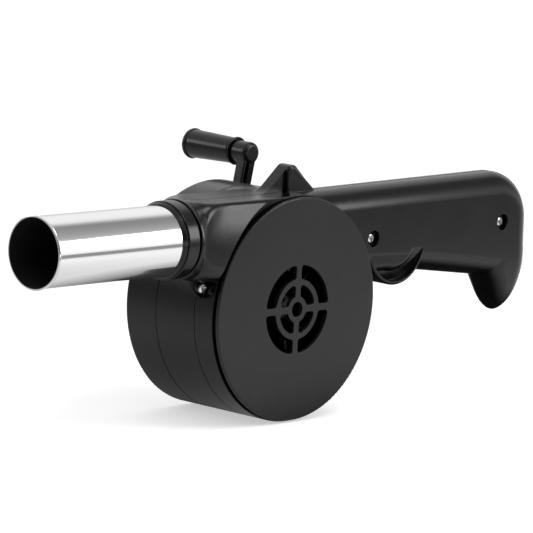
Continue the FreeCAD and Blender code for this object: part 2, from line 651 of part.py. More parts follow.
def seam_groove(kept_whole):
    """Shadow line where the halves meet; it leaves the given shapes whole."""
    half = SEAM_W / 2
    ridge = turned_x([(COLLAR_X, 0, 0), (COLLAR_X, RIDGE_R + EXTRA, 0),
                      (RIDGE_X + RIDGE_L, RIDGE_R + EXTRA, 0), (RIDGE_X + RIDGE_L, 0, 0)])
    core = rod(DRUM_R - SEAM_DEPTH, -half - EXTRA, half + EXTRA, FAN_AXIS)
    core = core.fuse([duct_body(SEAM_DEPTH), grip_block(SEAM_DEPTH, GRIP_ROUND - SEAM_DEPTH),
                      ridge] + kept_whole)
    slab = box((-FAR_REACH, FAR_REACH), (-half, half), (-FAR_REACH, FAR_REACH))
    return slab.cut(core)


def case_seam_groove():
    half = SEAM_W / 2
    return ring(DRUM_R + EXTRA, DRUM_R - SEAM_DEPTH, PARTITION_FAR_Y - half, PARTITION_FAR_Y + half,
                FAN_AXIS)


# ---- body: hollows --------------------------------------------------------------------------
def grip_inside():
    flank = GRIP_HALF_T - GRIP_WALL - DISH_DEPTH
    zone = rod(FINGER_R + EXTRA, -GRIP_HALF_T, -flank, FINGER_AXIS)
    far_zone = rod(FINGER_R + EXTRA, flank, GRIP_HALF_T, FINGER_AXIS)
    hollow = grip_block(GRIP_WALL, GRIP_ROUND - GRIP_WALL).cut([zone, far_zone])
    stop = finger_stop(FINGER_R - FINGER_WALL, flank, FINGER_ROUND)
    return hollow.fuse([stop, tail(GRIP_WALL)]).cut(rod(DRUM_R, NEAR_EDGE_Y, PARTITION_FAR_Y, FAN_AXIS))


def body_hollow():
    chamber = rod(DRUM_IN_R, CHAMBER_NEAR_Y, PARTITION_NEAR_Y, FAN_AXIS)
    mouth = rod(DRUM_IN_R, NEAR_EDGE_Y - EXTRA, LEDGE_Y, FAN_AXIS)
    throat = rod(DRUM_IN_R - LEDGE_W, NEAR_EDGE_Y - EXTRA, CHAMBER_NEAR_Y + EXTRA, FAN_AXIS)
    return chamber.fuse([mouth, throat, duct_inside(), grip_inside()])


# ---- shells ---------------------------------------------------------------------------------
def near_shell(outside, hollow):
    shell = outside.common(near_side()).cut(hollow)
    bosses = [rod(COUNTERBORE_R + BOSS_WALL, GRIP_SEAT_Y - COUNTERBORE_DEPTH, 0, p) for p in GRIP_SCREWS]
    bosses = [boss.common(outside) for boss in bosses]
    peg = rod(EAR_PEG_R, -EAR_EDGE_ROUND / 2, EAR_PEG_L, top_ear_screw())
    shell = shell.fuse(bosses + [peg])
    holes = [rod(COUNTERBORE_R, -GRIP_HALF_T - EXTRA, GRIP_SEAT_Y, p) for p in GRIP_SCREWS]
    holes += [rod(SCREW_R + SCREW_FIT, GRIP_SEAT_Y - EXTRA, EXTRA, p) for p in GRIP_SCREWS]
    holes.append(rod(SCREW_R + SCREW_FIT, -EAR_LOW_T - EXTRA, EXTRA, EAR_LOW_SCREW))
    holes.append(rod(SCREW_R + SCREW_FIT, -EAR_TOP_NEAR_T + DISC_T, EAR_PEG_L + EXTRA, top_ear_screw()))
    return shell.cut(holes)


def far_shell(outside, hollow):
    shell = outside.common(far_side()).cut(hollow)
    bosses = [rod(SCREW_R + BOSS_WALL, 0, GRIP_HALF_T - EXTRA, p) for p in GRIP_SCREWS]
    bosses.append(rod(FAN_BUSH_R + BOSS_T, BOSS_FAN_Y, PARTITION_FAR_Y, FAN_AXIS))
    bosses.append(rod(CRANK_BUSH_R + BOSS_T, BOSS_FAN_Y + EXTRA, PARTITION_FAR_Y, CRANK_AXIS))
    bosses.append(rod(IDLER_AXLE_R + BOSS_T, BOSS_FAN_Y + EXTRA, PARTITION_FAR_Y, IDLER_AXIS))
    bosses += [rod(SCREW_R + BOSS_WALL, BOSS_FAN_Y, PARTITION_FAR_Y, p) for p in case_screw_axes()]
    shell = shell.fuse(bosses)
    holes = [rod(SCREW_R + SCREW_FIT, -EXTRA, SCREW_BITE + SLIP, p) for p in GRIP_SCREWS]
    holes.append(rod(SCREW_R + SCREW_FIT, -EXTRA, EAR_LOW_T + EXTRA, EAR_LOW_SCREW))
    holes.append(rod(SCREW_R + SCREW_FIT, -EXTRA, EAR_TOP_FAR_T + EXTRA, top_ear_screw()))
    holes.append(rod(EAR_PEG_R + SCREW_FIT, -EXTRA, EAR_PEG_L + SLIP, top_ear_screw()))
    holes.append(rod(FAN_BUSH_R, BOSS_FAN_Y - EXTRA, PARTITION_FAR_Y + EXTRA, FAN_AXIS))
    holes.append(rod(CRANK_BUSH_R, CRANK_BUSH_IN_Y, PARTITION_FAR_Y + EXTRA, CRANK_AXIS))
    holes.append(rod(IDLER_AXLE_R + SCREW_FIT, PARTITION_NEAR_Y, PARTITION_FAR_Y + EXTRA, IDLER_AXIS))
    holes += [rod(SCREW_R + SCREW_FIT, BOSS_FAN_Y + CASE_SCREW_BITE, PARTITION_FAR_Y + EXTRA, p)
              for p in case_screw_axes()]
    return shell.cut(holes)


def top_ear_screw():
    return (FAN_X + EAR_SCREW_BACK, DRUM_TOP_Z + EAR_SCREW_RISE)


def case_screw_axes():
    axes = []
    reach = DRUM_IN_R - CASE_SCREW_INSET
    for angle in CASE_SCREW_ANGLES:
        turn = math.radians(angle)
        axes.append((FAN_X + reach * math.cos(turn), FAN_Z + reach * math.sin(turn)))
    return axes


def gear_case_cover():
    cup = turned([(0, PARTITION_FAR_Y, 0), (DRUM_R, PARTITION_FAR_Y, 0),
                  (DRUM_R, COVER_FAR_Y, EDGE_ROUND), (0, COVER_FAR_Y, 0)], FAN_AXIS)
    cup = cup.cut(rod(DRUM_IN_R, PARTITION_FAR_Y - EXTRA, COVER_IN_Y, FAN_AXIS))
    add = [rod(CRANK_BUSH_R + BOSS_T, COVER_BUSH_Y, COVER_FAR_Y + CRANK_BOSS_H, CRANK_AXIS),
           rod(IDLER_AXLE_R + BOSS_T, COVER_IN_Y - IDLER_AXLE_SEAT, COVER_FAR_Y, IDLER_AXIS)]
    add += [rod(SCREW_HEAD_R + BOSS_WALL, PARTITION_FAR_Y, COVER_FAR_Y, p) for p in case_screw_axes()]
    take = [rod(CRANK_BUSH_R, COVER_BUSH_Y - EXTRA, COVER_FAR_Y + CRANK_BOSS_H + EXTRA, CRANK_AXIS),
            rod(IDLER_AXLE_R + SCREW_FIT, COVER_IN_Y - IDLER_AXLE_SEAT - EXTRA, COVER_IN_Y, IDLER_AXIS)]
    take += [rod(SCREW_R + SCREW_FIT, PARTITION_FAR_Y - EXTRA, COVER_FAR_Y, p) for p in case_screw_axes()]
    take += [rod(SCREW_HEAD_R + SLIP, CASE_SEAT_Y, COVER_FAR_Y + EXTRA, p) for p in case_screw_axes()]
    keep = rod(DRUM_R, PARTITION_FAR_Y, COVER_FAR_Y + CRANK_BOSS_H, FAN_AXIS)
    return cup.fuse([piece.common(keep) for piece in add]).cut(take + [case_seam_groove()])


# ---- inlet cover ----------------------------------------------------------------------------
def slot_ring(inner, outer):
    """Four ring-shaped slots between the spokes, with rounded corners."""
    band = ring(outer, inner, DISC_FACE_Y - EXTRA, DISC_BACK_Y + EXTRA, FAN_AXIS)
    reach = outer + EXTRA
    half = SPOKE_W / 2
    upright = box((FAN_X - half, FAN_X + half), (-FAR_REACH, 0), (FAN_Z - reach, FAN_Z + reach))
    level = box((FAN_X - reach, FAN_X + reach), (-FAR_REACH, 0), (FAN_Z - half, FAN_Z + half))
    slots = band.cut([upright, level])
    rounded = []
    for solid in slots.Solids:
        edges = [e for e in solid.Edges if e.BoundBox.YLength > DISC_T
                 and e.BoundBox.XLength + e.BoundBox.ZLength < TOLERANCE]
        rounded.append(solid.makeFillet(SLOT_CORNER, edges))
    return rounded


def inlet_cover():
    disc = turned([(0, DISC_FACE_Y, 0), (DISC_R, DISC_FACE_Y, DISC_EDGE),
                   (DISC_R, DISC_BACK_Y, DISC_EDGE), (0, DISC_BACK_Y, 0)], FAN_AXIS)
    spigot_r = DRUM_IN_R - SCREW_FIT
    spigot = ring(spigot_r, spigot_r - SPIGOT_T, DISC_BACK_Y - DISC_T / 2, LEDGE_Y, FAN_AXIS)
    cuts = slot_ring(HUB_RING_R, INNER_SLOT_R) + slot_ring(RING_R, OUTER_SLOT_R)
    cuts.append(rod(CENTRE_HOLE_R, DISC_FACE_Y - EXTRA, DISC_BACK_Y + EXTRA, FAN_AXIS))
    return disc.fuse(spigot).cut(cuts)


# ---- nozzle ---------------------------------------------------------------------------------
def nozzle_tube():
    tube = turned_x([(0, TUBE_IN_R, 0), (TUBE_L, TUBE_IN_R, 0), (TUBE_L, TUBE_R, 0), (0, TUBE_R, 0)])
    bead = Part.makeTorus(TUBE_R, LIP_R, FreeCAD.Vector(LIP_R, 0, 0), FreeCAD.Vector(1, 0, 0))
    bead = bead.cut(Part.makeCylinder(TUBE_R - TUBE_T / 2, 4 * LIP_R, FreeCAD.Vector(-LIP_R, 0, 0),
                                      FreeCAD.Vector(1, 0, 0)))
    return tube.fuse(bead)


def nozzle_collar():
    """Ring around the tube: a tapered front lip, a line, a wide band and a neck."""
    lip_x = COLLAR_X + COLLAR_LIP
    band_x = lip_x + COLLAR_GROOVE
    lip_end_r = TUBE_R + COLLAR_LIP_END
    line_r = lip_end_r - COLLAR_GROOVE
    return turned_x([(COLLAR_X, SOCKET_R, 0), (COLLAR_X, TUBE_R + COLLAR_LIP_START, 0),
                     (lip_x, lip_end_r, 0), (lip_x, line_r, 0), (band_x, line_r, 0),
                     (band_x, COLLAR_R, COLLAR_ROUND), (COLLAR_END_X, COLLAR_R, COLLAR_ROUND),
                     (COLLAR_END_X, NECK_R, 0), (RIDGE_X, NECK_R, 0), (RIDGE_X, SOCKET_R, 0)])


# ---- screws ---------------------------------------------------------------------------------
def cross_screw(axis, seat_y, tip_y, head_r=SCREW_HEAD_R, head_h=SCREW_HEAD_H, shank_r=SCREW_R):
    """Pan head screw along Y with a cross recess; the head lies on the side away from the tip."""
    side = 1 if tip_y > seat_y else -1
    top = seat_y - side * head_h
    low = min(seat_y, tip_y)
    high = max(seat_y, tip_y)
    head = turned([(0, seat_y, 0), (head_r, seat_y, 0), (head_r, top, head_h * HEAD_CROWN),
                   (0, top, 0)], axis)
    point = turned([(0, tip_y, 0), (shank_r * POINT_FLAT, tip_y, 0),
                    (shank_r, tip_y - side * shank_r, 0), (0, tip_y - side * shank_r, 0)], axis)
    point_y = tip_y - side * shank_r
    trim = rod(shank_r + EXTRA, min(tip_y, point_y), max(tip_y, point_y), axis)
    shank = rod(shank_r, low, high, axis).cut(trim)
    y_span = (min(top, top + side * RECESS_DEPTH) - EXTRA * (side > 0),
              max(top, top + side * RECESS_DEPTH) + EXTRA * (side < 0))
    half = RECESS_W / 2
    slot_a = box((axis[0] - RECESS_R, axis[0] + RECESS_R), y_span, (axis[1] - half, axis[1] + half))
    slot_b = box((axis[0] - half, axis[0] + half), y_span, (axis[1] - RECESS_R, axis[1] + RECESS_R))
    return head.fuse([shank, point]).cut([slot_a, slot_b])


def group(shapes):
    return Part.makeCompound(shapes)


def grip_screws():
    return group([cross_screw(p, GRIP_SEAT_Y, SCREW_BITE) for p in GRIP_SCREWS])


def ear_screws():
    low = cross_screw(EAR_LOW_SCREW, -EAR_LOW_T, EAR_LOW_T - EXTRA / 2)
    top = cross_screw(top_ear_screw(), EAR_TOP_FAR_T, -EAR_TOP_NEAR_T + DISC_T + SLIP)
    return group([low, top])


def case_screws():
    tip = BOSS_FAN_Y + CASE_SCREW_BITE + SLIP
    return group([cross_screw(p, CASE_SEAT_Y, tip) for p in case_screw_axes()])


# ---- gears ----------------------------------------------------------------------------------
def involute(base, radius):
    """Polar angle of the involute of a base circle at a radius."""
    ratio = max(radius / base, 1.0)
    return math.sqrt(ratio ** 2 - 1) - math.acos(1 / ratio)


def gear_outline(teeth, axis, y, phase):
    """Closed outline of an involute gear; a tooth is centred on the angle phase."""
    pitch = pitch_r(teeth)
    base = pitch * math.cos(math.radians(PRESSURE_ANGLE))
    root = pitch - DEDENDUM * MODULE
    tip = pitch + ADDENDUM * MODULE
    start = max(base, root)
    half_pitch = (math.pi * MODULE / 2 - BACKLASH / 2) / 2 / pitch
    offset = half_pitch + involute(base, pitch)

    def spot(radius, angle):
        return FreeCAD.Vector(axis[0] + radius * math.cos(angle), y, axis[1] + radius * math.sin(angle))

    edges = []
    step = 2 * math.pi / teeth
    middle = (start + tip) / 2
    for k in range(teeth):
        centre = phase + k * step
        low = offset - involute(base, start)
        mid = offset - involute(base, middle)
        high = offset - involute(base, tip)
        before = [spot(start, centre - low), spot(middle, centre - mid), spot(tip, centre - high)]
        after = [spot(tip, centre + high), spot(middle, centre + mid), spot(start, centre + low)]
        if root < start - TOLERANCE:
            edges.append(line(spot(root, centre - low), before[0]))
        edges.append(Part.Arc(*before).toShape())
        edges.append(Part.Arc(before[2], spot(tip, centre), after[0]).toShape())
        edges.append(Part.Arc(*after).toShape())
        if root < start - TOLERANCE:
            edges.append(line(after[2], spot(root, centre + low)))
        gap = centre + step / 2
        edges.append(Part.Arc(spot(root, centre + low), spot(root, gap),
                              spot(root, centre + step - low)).toShape())
    return Part.Wire(edges)


def gear(teeth, axis, y_from, y_to, phase):
    face = Part.Face(gear_outline(teeth, axis, y_from, phase))
    return face.extrude(FreeCAD.Vector(0, y_to - y_from, 0))


def bearing_angle(start, end):
    return math.atan2(end[1] - start[1], end[0] - start[0])


def thinned(wheel, teeth, axis, hub_r, y_from, y_to):
    """Thins the web of a wheel from both sides, between its hub and its rim."""
    rim = pitch_r(teeth) - DEDENDUM * MODULE - RIM_W
    middle = (y_from + y_to) / 2
    side_a = ring(rim, hub_r, y_from - EXTRA, middle - WEB_T / 2, axis)
    side_b = ring(rim, hub_r, middle + WEB_T / 2, y_to + EXTRA, axis)
    return wheel.cut([side_a, side_b])


def crank_gear():
    hub_far = COVER_BUSH_Y - SLIP
    hub_near = PARTITION_FAR_Y + BUSH_FLANGE_T + SLIP
    phase = bearing_angle(CRANK_AXIS, IDLER_AXIS)
    wheel = gear(CRANK_TEETH, CRANK_AXIS, CRANK_GEAR_Y, CRANK_GEAR_END, phase)
    wheel = thinned(wheel, CRANK_TEETH, CRANK_AXIS, CRANK_HUB_R, CRANK_GEAR_Y, CRANK_GEAR_END)
    hub = rod(CRANK_HUB_R, CRANK_GEAR_Y, hub_far, CRANK_AXIS)
    neck = rod(CRANK_SHAFT_R + BOSS_T, hub_near, CRANK_GEAR_Y, CRANK_AXIS)
    return wheel.fuse([hub, neck]).cut(flatted(CRANK_SHAFT_R, hub_near - EXTRA, hub_far + EXTRA, SCREW_FIT))


def flatted(radius, y_from, y_to, play):
    """Bar on the crank axis with one flat, so that what sits on it can't slip round."""
    bar = rod(radius + play, y_from, y_to, CRANK_AXIS)
    flat = CRANK_Z + radius * SHAFT_FLAT + play
    return bar.cut(box((CRANK_X - radius * 2, CRANK_X + radius * 2), (y_from - EXTRA, y_to + EXTRA),
                       (flat, flat + radius)))


def crank_shaft():
    seat = rod(CRANK_SHAFT_R, CRANK_BUSH_IN_Y + SLIP, PARTITION_FAR_Y + BUSH_FLANGE_T, CRANK_AXIS)
    gear_seat = flatted(CRANK_SHAFT_R, PARTITION_FAR_Y + BUSH_FLANGE_T, COVER_BUSH_Y - SLIP, 0)
    journal = rod(CRANK_SHAFT_R, COVER_BUSH_Y - SLIP, ARM_BOSS_Y, CRANK_AXIS)
    arm_seat = flatted(CRANK_SHAFT_R, ARM_BOSS_Y, SHAFT_FAR_Y, 0)
    thread = rod(ARM_SCREW_R + SCREW_FIT, ARM_FAR_Y - ARM_SCREW_L - EXTRA, SHAFT_FAR_Y + EXTRA, CRANK_AXIS)
    return seat.fuse([gear_seat, journal, arm_seat]).cut(thread)


def idler_gear():
    near = PARTITION_FAR_Y + SLIP
    far = COVER_IN_Y - IDLER_AXLE_SEAT - CLIP_T - SLIP
    to_crank = bearing_angle(CRANK_AXIS, IDLER_AXIS)
    to_fan = bearing_angle(IDLER_AXIS, FAN_AXIS)
    small = gear(IDLER_SMALL_TEETH, IDLER_AXIS, FAN_PINION_END, CRANK_GEAR_END + PLANE_GAP / 2,
                 to_crank + math.pi + math.pi / IDLER_SMALL_TEETH)
    large = gear(IDLER_LARGE_TEETH, IDLER_AXIS, FAN_PINION_Y, FAN_PINION_END, to_fan)
    large = thinned(large, IDLER_LARGE_TEETH, IDLER_AXIS, IDLER_HUB_R + RIM_W, FAN_PINION_Y, FAN_PINION_END)
    hub = rod(IDLER_HUB_R, near, far, IDLER_AXIS)
    bore = rod(IDLER_AXLE_R + RUN_FIT, near - EXTRA, far + EXTRA, IDLER_AXIS)
    return large.fuse([small, hub]).cut(bore)


def idler_axle():
    return rod(IDLER_AXLE_R, PARTITION_NEAR_Y, COVER_IN_Y, IDLER_AXIS)


def idler_clip():
    """Spring ring around the axle, open on one side."""
    y_from = COVER_IN_Y - IDLER_AXLE_SEAT - CLIP_T
    clip = ring(CLIP_R, IDLER_AXLE_R + SCREW_FIT, y_from, y_from + CLIP_T, IDLER_AXIS)
    gap = box((IDLER_AXIS[0] - CLIP_OPEN, IDLER_AXIS[0] + CLIP_OPEN),
              (y_from - EXTRA, y_from + CLIP_T + EXTRA), (IDLER_AXIS[1], IDLER_AXIS[1] + CLIP_R + EXTRA))
    return clip.cut(gap)


def fan_pinion():
    phase = bearing_angle(IDLER_AXIS, FAN_AXIS) + math.pi + math.pi / FAN_TEETH
    wheel = gear(FAN_TEETH, FAN_AXIS, FAN_PINION_Y, FAN_PINION_END, phase)
    return wheel.cut(rod(FAN_SHAFT_R, FAN_PINION_Y - EXTRA, FAN_PINION_END + EXTRA, FAN_AXIS))


# ---- fan ------------------------------------------------------------------------------------
def impeller_blade():
    """One curved blade, swept backwards from root to tip."""
    sweep = math.radians(BLADE_SWEEP)

    def spot(radius, turn, side):
        along = sweep * turn
        shift = side * BLADE_T / 2 / radius
        angle = along + shift
        return FreeCAD.Vector(FAN_X + radius * math.cos(angle), IMPELLER_NEAR_Y,
                              FAN_Z + radius * math.sin(angle))

    mid_r = (BLADE_ROOT_R + IMPELLER_R) / 2
    left = [spot(BLADE_ROOT_R, 0, -1), spot(mid_r, BLADE_MID_TURN, -1), spot(IMPELLER_R, 1, -1)]
    right = [spot(IMPELLER_R, 1, 1), spot(mid_r, BLADE_MID_TURN, 1), spot(BLADE_ROOT_R, 0, 1)]
    wire = Part.Wire([Part.Arc(*left).toShape(), line(left[2], right[0]),
                      Part.Arc(*right).toShape(), line(right[2], left[0])])
    depth = IMPELLER_BACK_Y - IMPELLER_BACK_T / 2 - IMPELLER_NEAR_Y
    return Part.Face(wire).extrude(FreeCAD.Vector(0, depth, 0))


def impeller():
    back = rod(IMPELLER_R, IMPELLER_BACK_Y - IMPELLER_BACK_T, IMPELLER_BACK_Y, FAN_AXIS)
    cone = turned([(0, IMPELLER_NEAR_Y, 0), (IMPELLER_HUB_R - EXTRA, IMPELLER_NEAR_Y, IMPELLER_ROUND),
                   (IMPELLER_HUB_R + 2 * EXTRA, IMPELLER_HUB_END, 0), (0, IMPELLER_HUB_END, 0)], FAN_AXIS)
    blade = impeller_blade()
    blades = [turn_about_y(blade, FAN_AXIS, 360.0 * k / BLADES) for k in range(BLADES)]
    wheel = back.fuse([cone] + blades)
    return wheel.cut(rod(FAN_SHAFT_R, IMPELLER_NEAR_Y - EXTRA, IMPELLER_HUB_END + EXTRA, FAN_AXIS))


def fan_shaft():
    near = IMPELLER_NEAR_Y - NUT_T - SHAFT_END
    far = FAN_PINION_END + SHAFT_END / 2
    return rod(FAN_SHAFT_R, near, far, FAN_AXIS)


def impeller_nut():
    """Hexagon nut that holds the impeller on its shaft."""
    across = [(FAN_X + NUT_R * math.cos(math.radians(60 * k + 30)),
               FAN_Z + NUT_R * math.sin(math.radians(60 * k + 30)), 0) for k in range(6)]
    nut = plate(across, IMPELLER_NEAR_Y - NUT_T, IMPELLER_NEAR_Y)
    return nut.cut(rod(FAN_SHAFT_R, IMPELLER_NEAR_Y - NUT_T - EXTRA, IMPELLER_NEAR_Y + EXTRA, FAN_AXIS))


def flanged_bush(axis, outer, bore, y_from, y_seat, flange_out):
    """Bearing bush along Y with a flange that rests on y_seat."""
    flange_to = y_seat + flange_out * BUSH_FLANGE_T
    low = min(y_seat, flange_to)
    high = max(y_seat, flange_to)
    sleeve = rod(outer, min(y_from, low), max(y_seat, high), axis)
    flange = rod(outer + BUSH_FLANGE_W, low, high, axis)
    return sleeve.fuse(flange).cut(rod(bore + RUN_FIT, y_from - EXTRA, max(y_seat, high) + EXTRA, axis))


def fan_bush():
    return flanged_bush(FAN_AXIS, FAN_BUSH_R, FAN_SHAFT_R, FAN_BUSH_Y, PARTITION_FAR_Y, 1)


def crank_bush_inner():
    return flanged_bush(CRANK_AXIS, CRANK_BUSH_R, CRANK_SHAFT_R, CRANK_BUSH_IN_Y, PARTITION_FAR_Y, 1)


def crank_bush_outer():
    return ring(CRANK_BUSH_R, CRANK_SHAFT_R + RUN_FIT, COVER_BUSH_Y, COVER_FAR_Y + CRANK_BOSS_H, CRANK_AXIS)


# ---- crank arm and knob ---------------------------------------------------------------------
def crank_washer():
    y_from = ARM_BOSS_Y - WASHER_T
    return ring(WASHER_R, CRANK_SHAFT_R + SCREW_FIT, y_from, ARM_BOSS_Y, CRANK_AXIS)


def crank_arm():
    boss = turned([(0, ARM_BOSS_Y, 0), (ARM_BOSS_R, ARM_BOSS_Y, ARM_ROUND), (ARM_BOSS_R, ARM_FAR_Y, EXTRA),
                   (0, ARM_FAR_Y, 0)], CRANK_AXIS)
    half = ARM_W / 2
    bar = box((CRANK_X - half, CRANK_X + half), (ARM_NEAR_Y, ARM_FAR_Y), (CRANK_Z, CRANK_Z + ARM_L))
    long_edges = [e for e in bar.Edges if e.BoundBox.ZLength > ARM_L / 2]
    bar = bar.makeFillet(ARM_ROUND, long_edges)
    channel_x = CRANK_X - half + ARM_RIB
    channel = box((channel_x, channel_x + ARM_CHANNEL_W), (ARM_NEAR_Y - EXTRA, ARM_NEAR_Y + ARM_CHANNEL),
                  (CRANK_Z, CRANK_Z + ARM_L))
    arm = turn_about_y(bar.cut(channel), CRANK_AXIS, ARM_LEAN)
    hub = turned([(0, KNOB_HUB_NEAR_Y, 0), (KNOB_HUB_R, KNOB_HUB_NEAR_Y, KNOB_HUB_ROUND),
                  (KNOB_HUB_R, KNOB_HUB_FAR_Y, KNOB_ROUND), (0, KNOB_HUB_FAR_Y, 0)], KNOB_AXIS)
    holes = [flatted(CRANK_SHAFT_R, ARM_BOSS_Y - EXTRA, SHAFT_FAR_Y, SCREW_FIT),
             rod(ARM_SCREW_R + SCREW_FIT, ARM_BOSS_Y, ARM_FAR_Y + EXTRA, CRANK_AXIS),
             rod(PIN_R, KNOB_HUB_FAR_Y - PIN_SEAT, KNOB_HUB_FAR_Y + EXTRA, KNOB_AXIS)]
    return boss.fuse([arm, hub]).cut(holes)


def crank_screw():
    return cross_screw(CRANK_AXIS, ARM_FAR_Y, ARM_FAR_Y - ARM_SCREW_L, ARM_SCREW_HEAD_R,
                       ARM_SCREW_HEAD_H, ARM_SCREW_R)


def knob_pin():
    head_y = KNOB_FAR_Y - KNOB_CAVITY_L + SLIP
    shank = rod(PIN_R, KNOB_HUB_FAR_Y - PIN_SEAT, head_y, KNOB_AXIS)
    head = rod(PIN_HEAD_R, head_y, head_y + PIN_HEAD_T, KNOB_AXIS)
    return shank.fuse(head)


def knob_grip():
    skirt_y = KNOB_NEAR_Y + KNOB_SKIRT_L
    body_y = skirt_y + KNOB_SKIRT_GROOVE
    groove_r = KNOB_R_ARM - KNOB_SKIRT_GROOVE
    grip = turned([(0, KNOB_NEAR_Y, 0), (KNOB_SKIRT_R, KNOB_NEAR_Y, KNOB_ROUND),
                   (KNOB_SKIRT_R, skirt_y, KNOB_ROUND), (groove_r, skirt_y, 0), (groove_r, body_y, 0),
                   (KNOB_R_ARM, body_y, KNOB_ROUND),
                   (KNOB_R_END, KNOB_FAR_Y - KNOB_RIM_L - KNOB_RIM_FLARE, KNOB_RIM_FLARE),
                   (KNOB_RIM_R, KNOB_FAR_Y - KNOB_RIM_L, KNOB_ROUND),
                   (KNOB_RIM_R, KNOB_FAR_Y, KNOB_ROUND), (0, KNOB_FAR_Y, 0)], KNOB_AXIS)
    bore = rod(PIN_R + RUN_FIT, KNOB_NEAR_Y - EXTRA, KNOB_FAR_Y, KNOB_AXIS)
    recess = rod(KNOB_RECESS_R, KNOB_NEAR_Y - EXTRA, KNOB_NEAR_Y + KNOB_RECESS_DEPTH, KNOB_AXIS)
    cavity = rod(KNOB_CAVITY_R, KNOB_FAR_Y - KNOB_CAVITY_L, KNOB_FAR_Y + EXTRA, KNOB_AXIS)
    return grip.cut([bore, recess, cavity])


def knob_end_cap():
    """Domed cap: a shallow ball segment on a plug that fits the grip's cavity."""
    rim = KNOB_RIM_R - KNOB_CAP_STEP
    ball = (rim ** 2 + KNOB_CAP_DOME ** 2) / (2 * KNOB_CAP_DOME)
    base_y = KNOB_FAR_Y + KNOB_CAP_BAND
    centre_y = base_y + KNOB_CAP_DOME - ball
    dome = Part.makeSphere(ball, FreeCAD.Vector(KNOB_X, centre_y, KNOB_Z))
    dome = dome.common(rod(rim, base_y, base_y + ball, KNOB_AXIS))
    foot = rod(rim, KNOB_FAR_Y, base_y, KNOB_AXIS)
    plug = rod(KNOB_CAVITY_R - SCREW_FIT, KNOB_FAR_Y - KNOB_CAP_PLUG, KNOB_FAR_Y, KNOB_AXIS)
    return foot.fuse([dome, plug])


def write(name, shape):
    """Writes one node; a group keeps its separate solids."""
    solids = shape.Solids
    whole = Part.makeCompound(solids) if len(solids) > 1 else solids[0]
    whole.exportStep("parts/" + name + ".step")
    print(name, len(solids), "solid(s), volume", round(whole.Volume, 1), "valid", whole.isValid())


def main():
    os.makedirs("parts", exist_ok=True)
    outside = body_outside()
    hollow = body_hollow()
    write("near_shell", near_shell(outside, hollow))
    write("far_shell", far_shell(outside, hollow))
    write("gear_case_cover", gear_case_cover())
    write("inlet_cover", inlet_cover())
    write("nozzle_tube", nozzle_tube())
    write("nozzle_collar", nozzle_collar())
    write("handle_screws", grip_screws())
    write("ear_screws", ear_screws())
    write("gear_case_screws", case_screws())
    write("fan_bush", fan_bush())
    write("crank_bush_inner", crank_bush_inner())
    write("crank_bush_outer", crank_bush_outer())
    write("idler_axle", idler_axle())
    write("idler_clip", idler_clip())
    write("impeller", impeller())
    write("impeller_nut", impeller_nut())
    write("fan_shaft", fan_shaft())
    write("fan_pinion", fan_pinion())
    write("idler_gear", idler_gear())
    write("crank_gear", crank_gear())
    write("crank_shaft", crank_shaft())
    write("crank_washer", crank_washer())
    write("crank_arm", crank_arm())
    write("crank_screw", crank_screw())
    write("knob_pin", knob_pin())
    write("knob_grip", knob_grip())
    write("knob_end_cap", knob_end_cap())


main()
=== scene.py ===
import logging
import math
from dataclasses import dataclass
from enum import Enum
from typing import Any, ClassVar, Dict, Optional, Sequence, Tuple, Union

import bpy
from mathutils import Matrix, Vector

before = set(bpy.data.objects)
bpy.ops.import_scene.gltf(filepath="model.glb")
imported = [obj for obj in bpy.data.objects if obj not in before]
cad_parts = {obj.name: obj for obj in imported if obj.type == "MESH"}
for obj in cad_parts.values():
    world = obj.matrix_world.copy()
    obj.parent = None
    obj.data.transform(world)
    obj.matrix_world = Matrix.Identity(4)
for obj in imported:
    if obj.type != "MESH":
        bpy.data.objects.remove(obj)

LOG = logging.getLogger("blower")
MM = 0.001
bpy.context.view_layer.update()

Colour = Tuple[float, float, float]
Point = Tuple[float, float, float]
FloorPoint = Tuple[float, float]
Span = Tuple[float, float]
Operand = Union["Signal", float]

MIDDLE = 0.5              # mean value of a mottle
BEVEL_SAMPLES = 6
MIX_SHARE, MIX_FIRST, MIX_SECOND, MIX_RESULT = 0, 6, 7, 2    # colour sockets of a Mix node
RIGHTWARD: FloorPoint = (0.72, -0.68)     # across the camera's view, on the floor
EYEWARD: FloorPoint = (-0.72, -0.68)      # from the object to the camera, on the floor


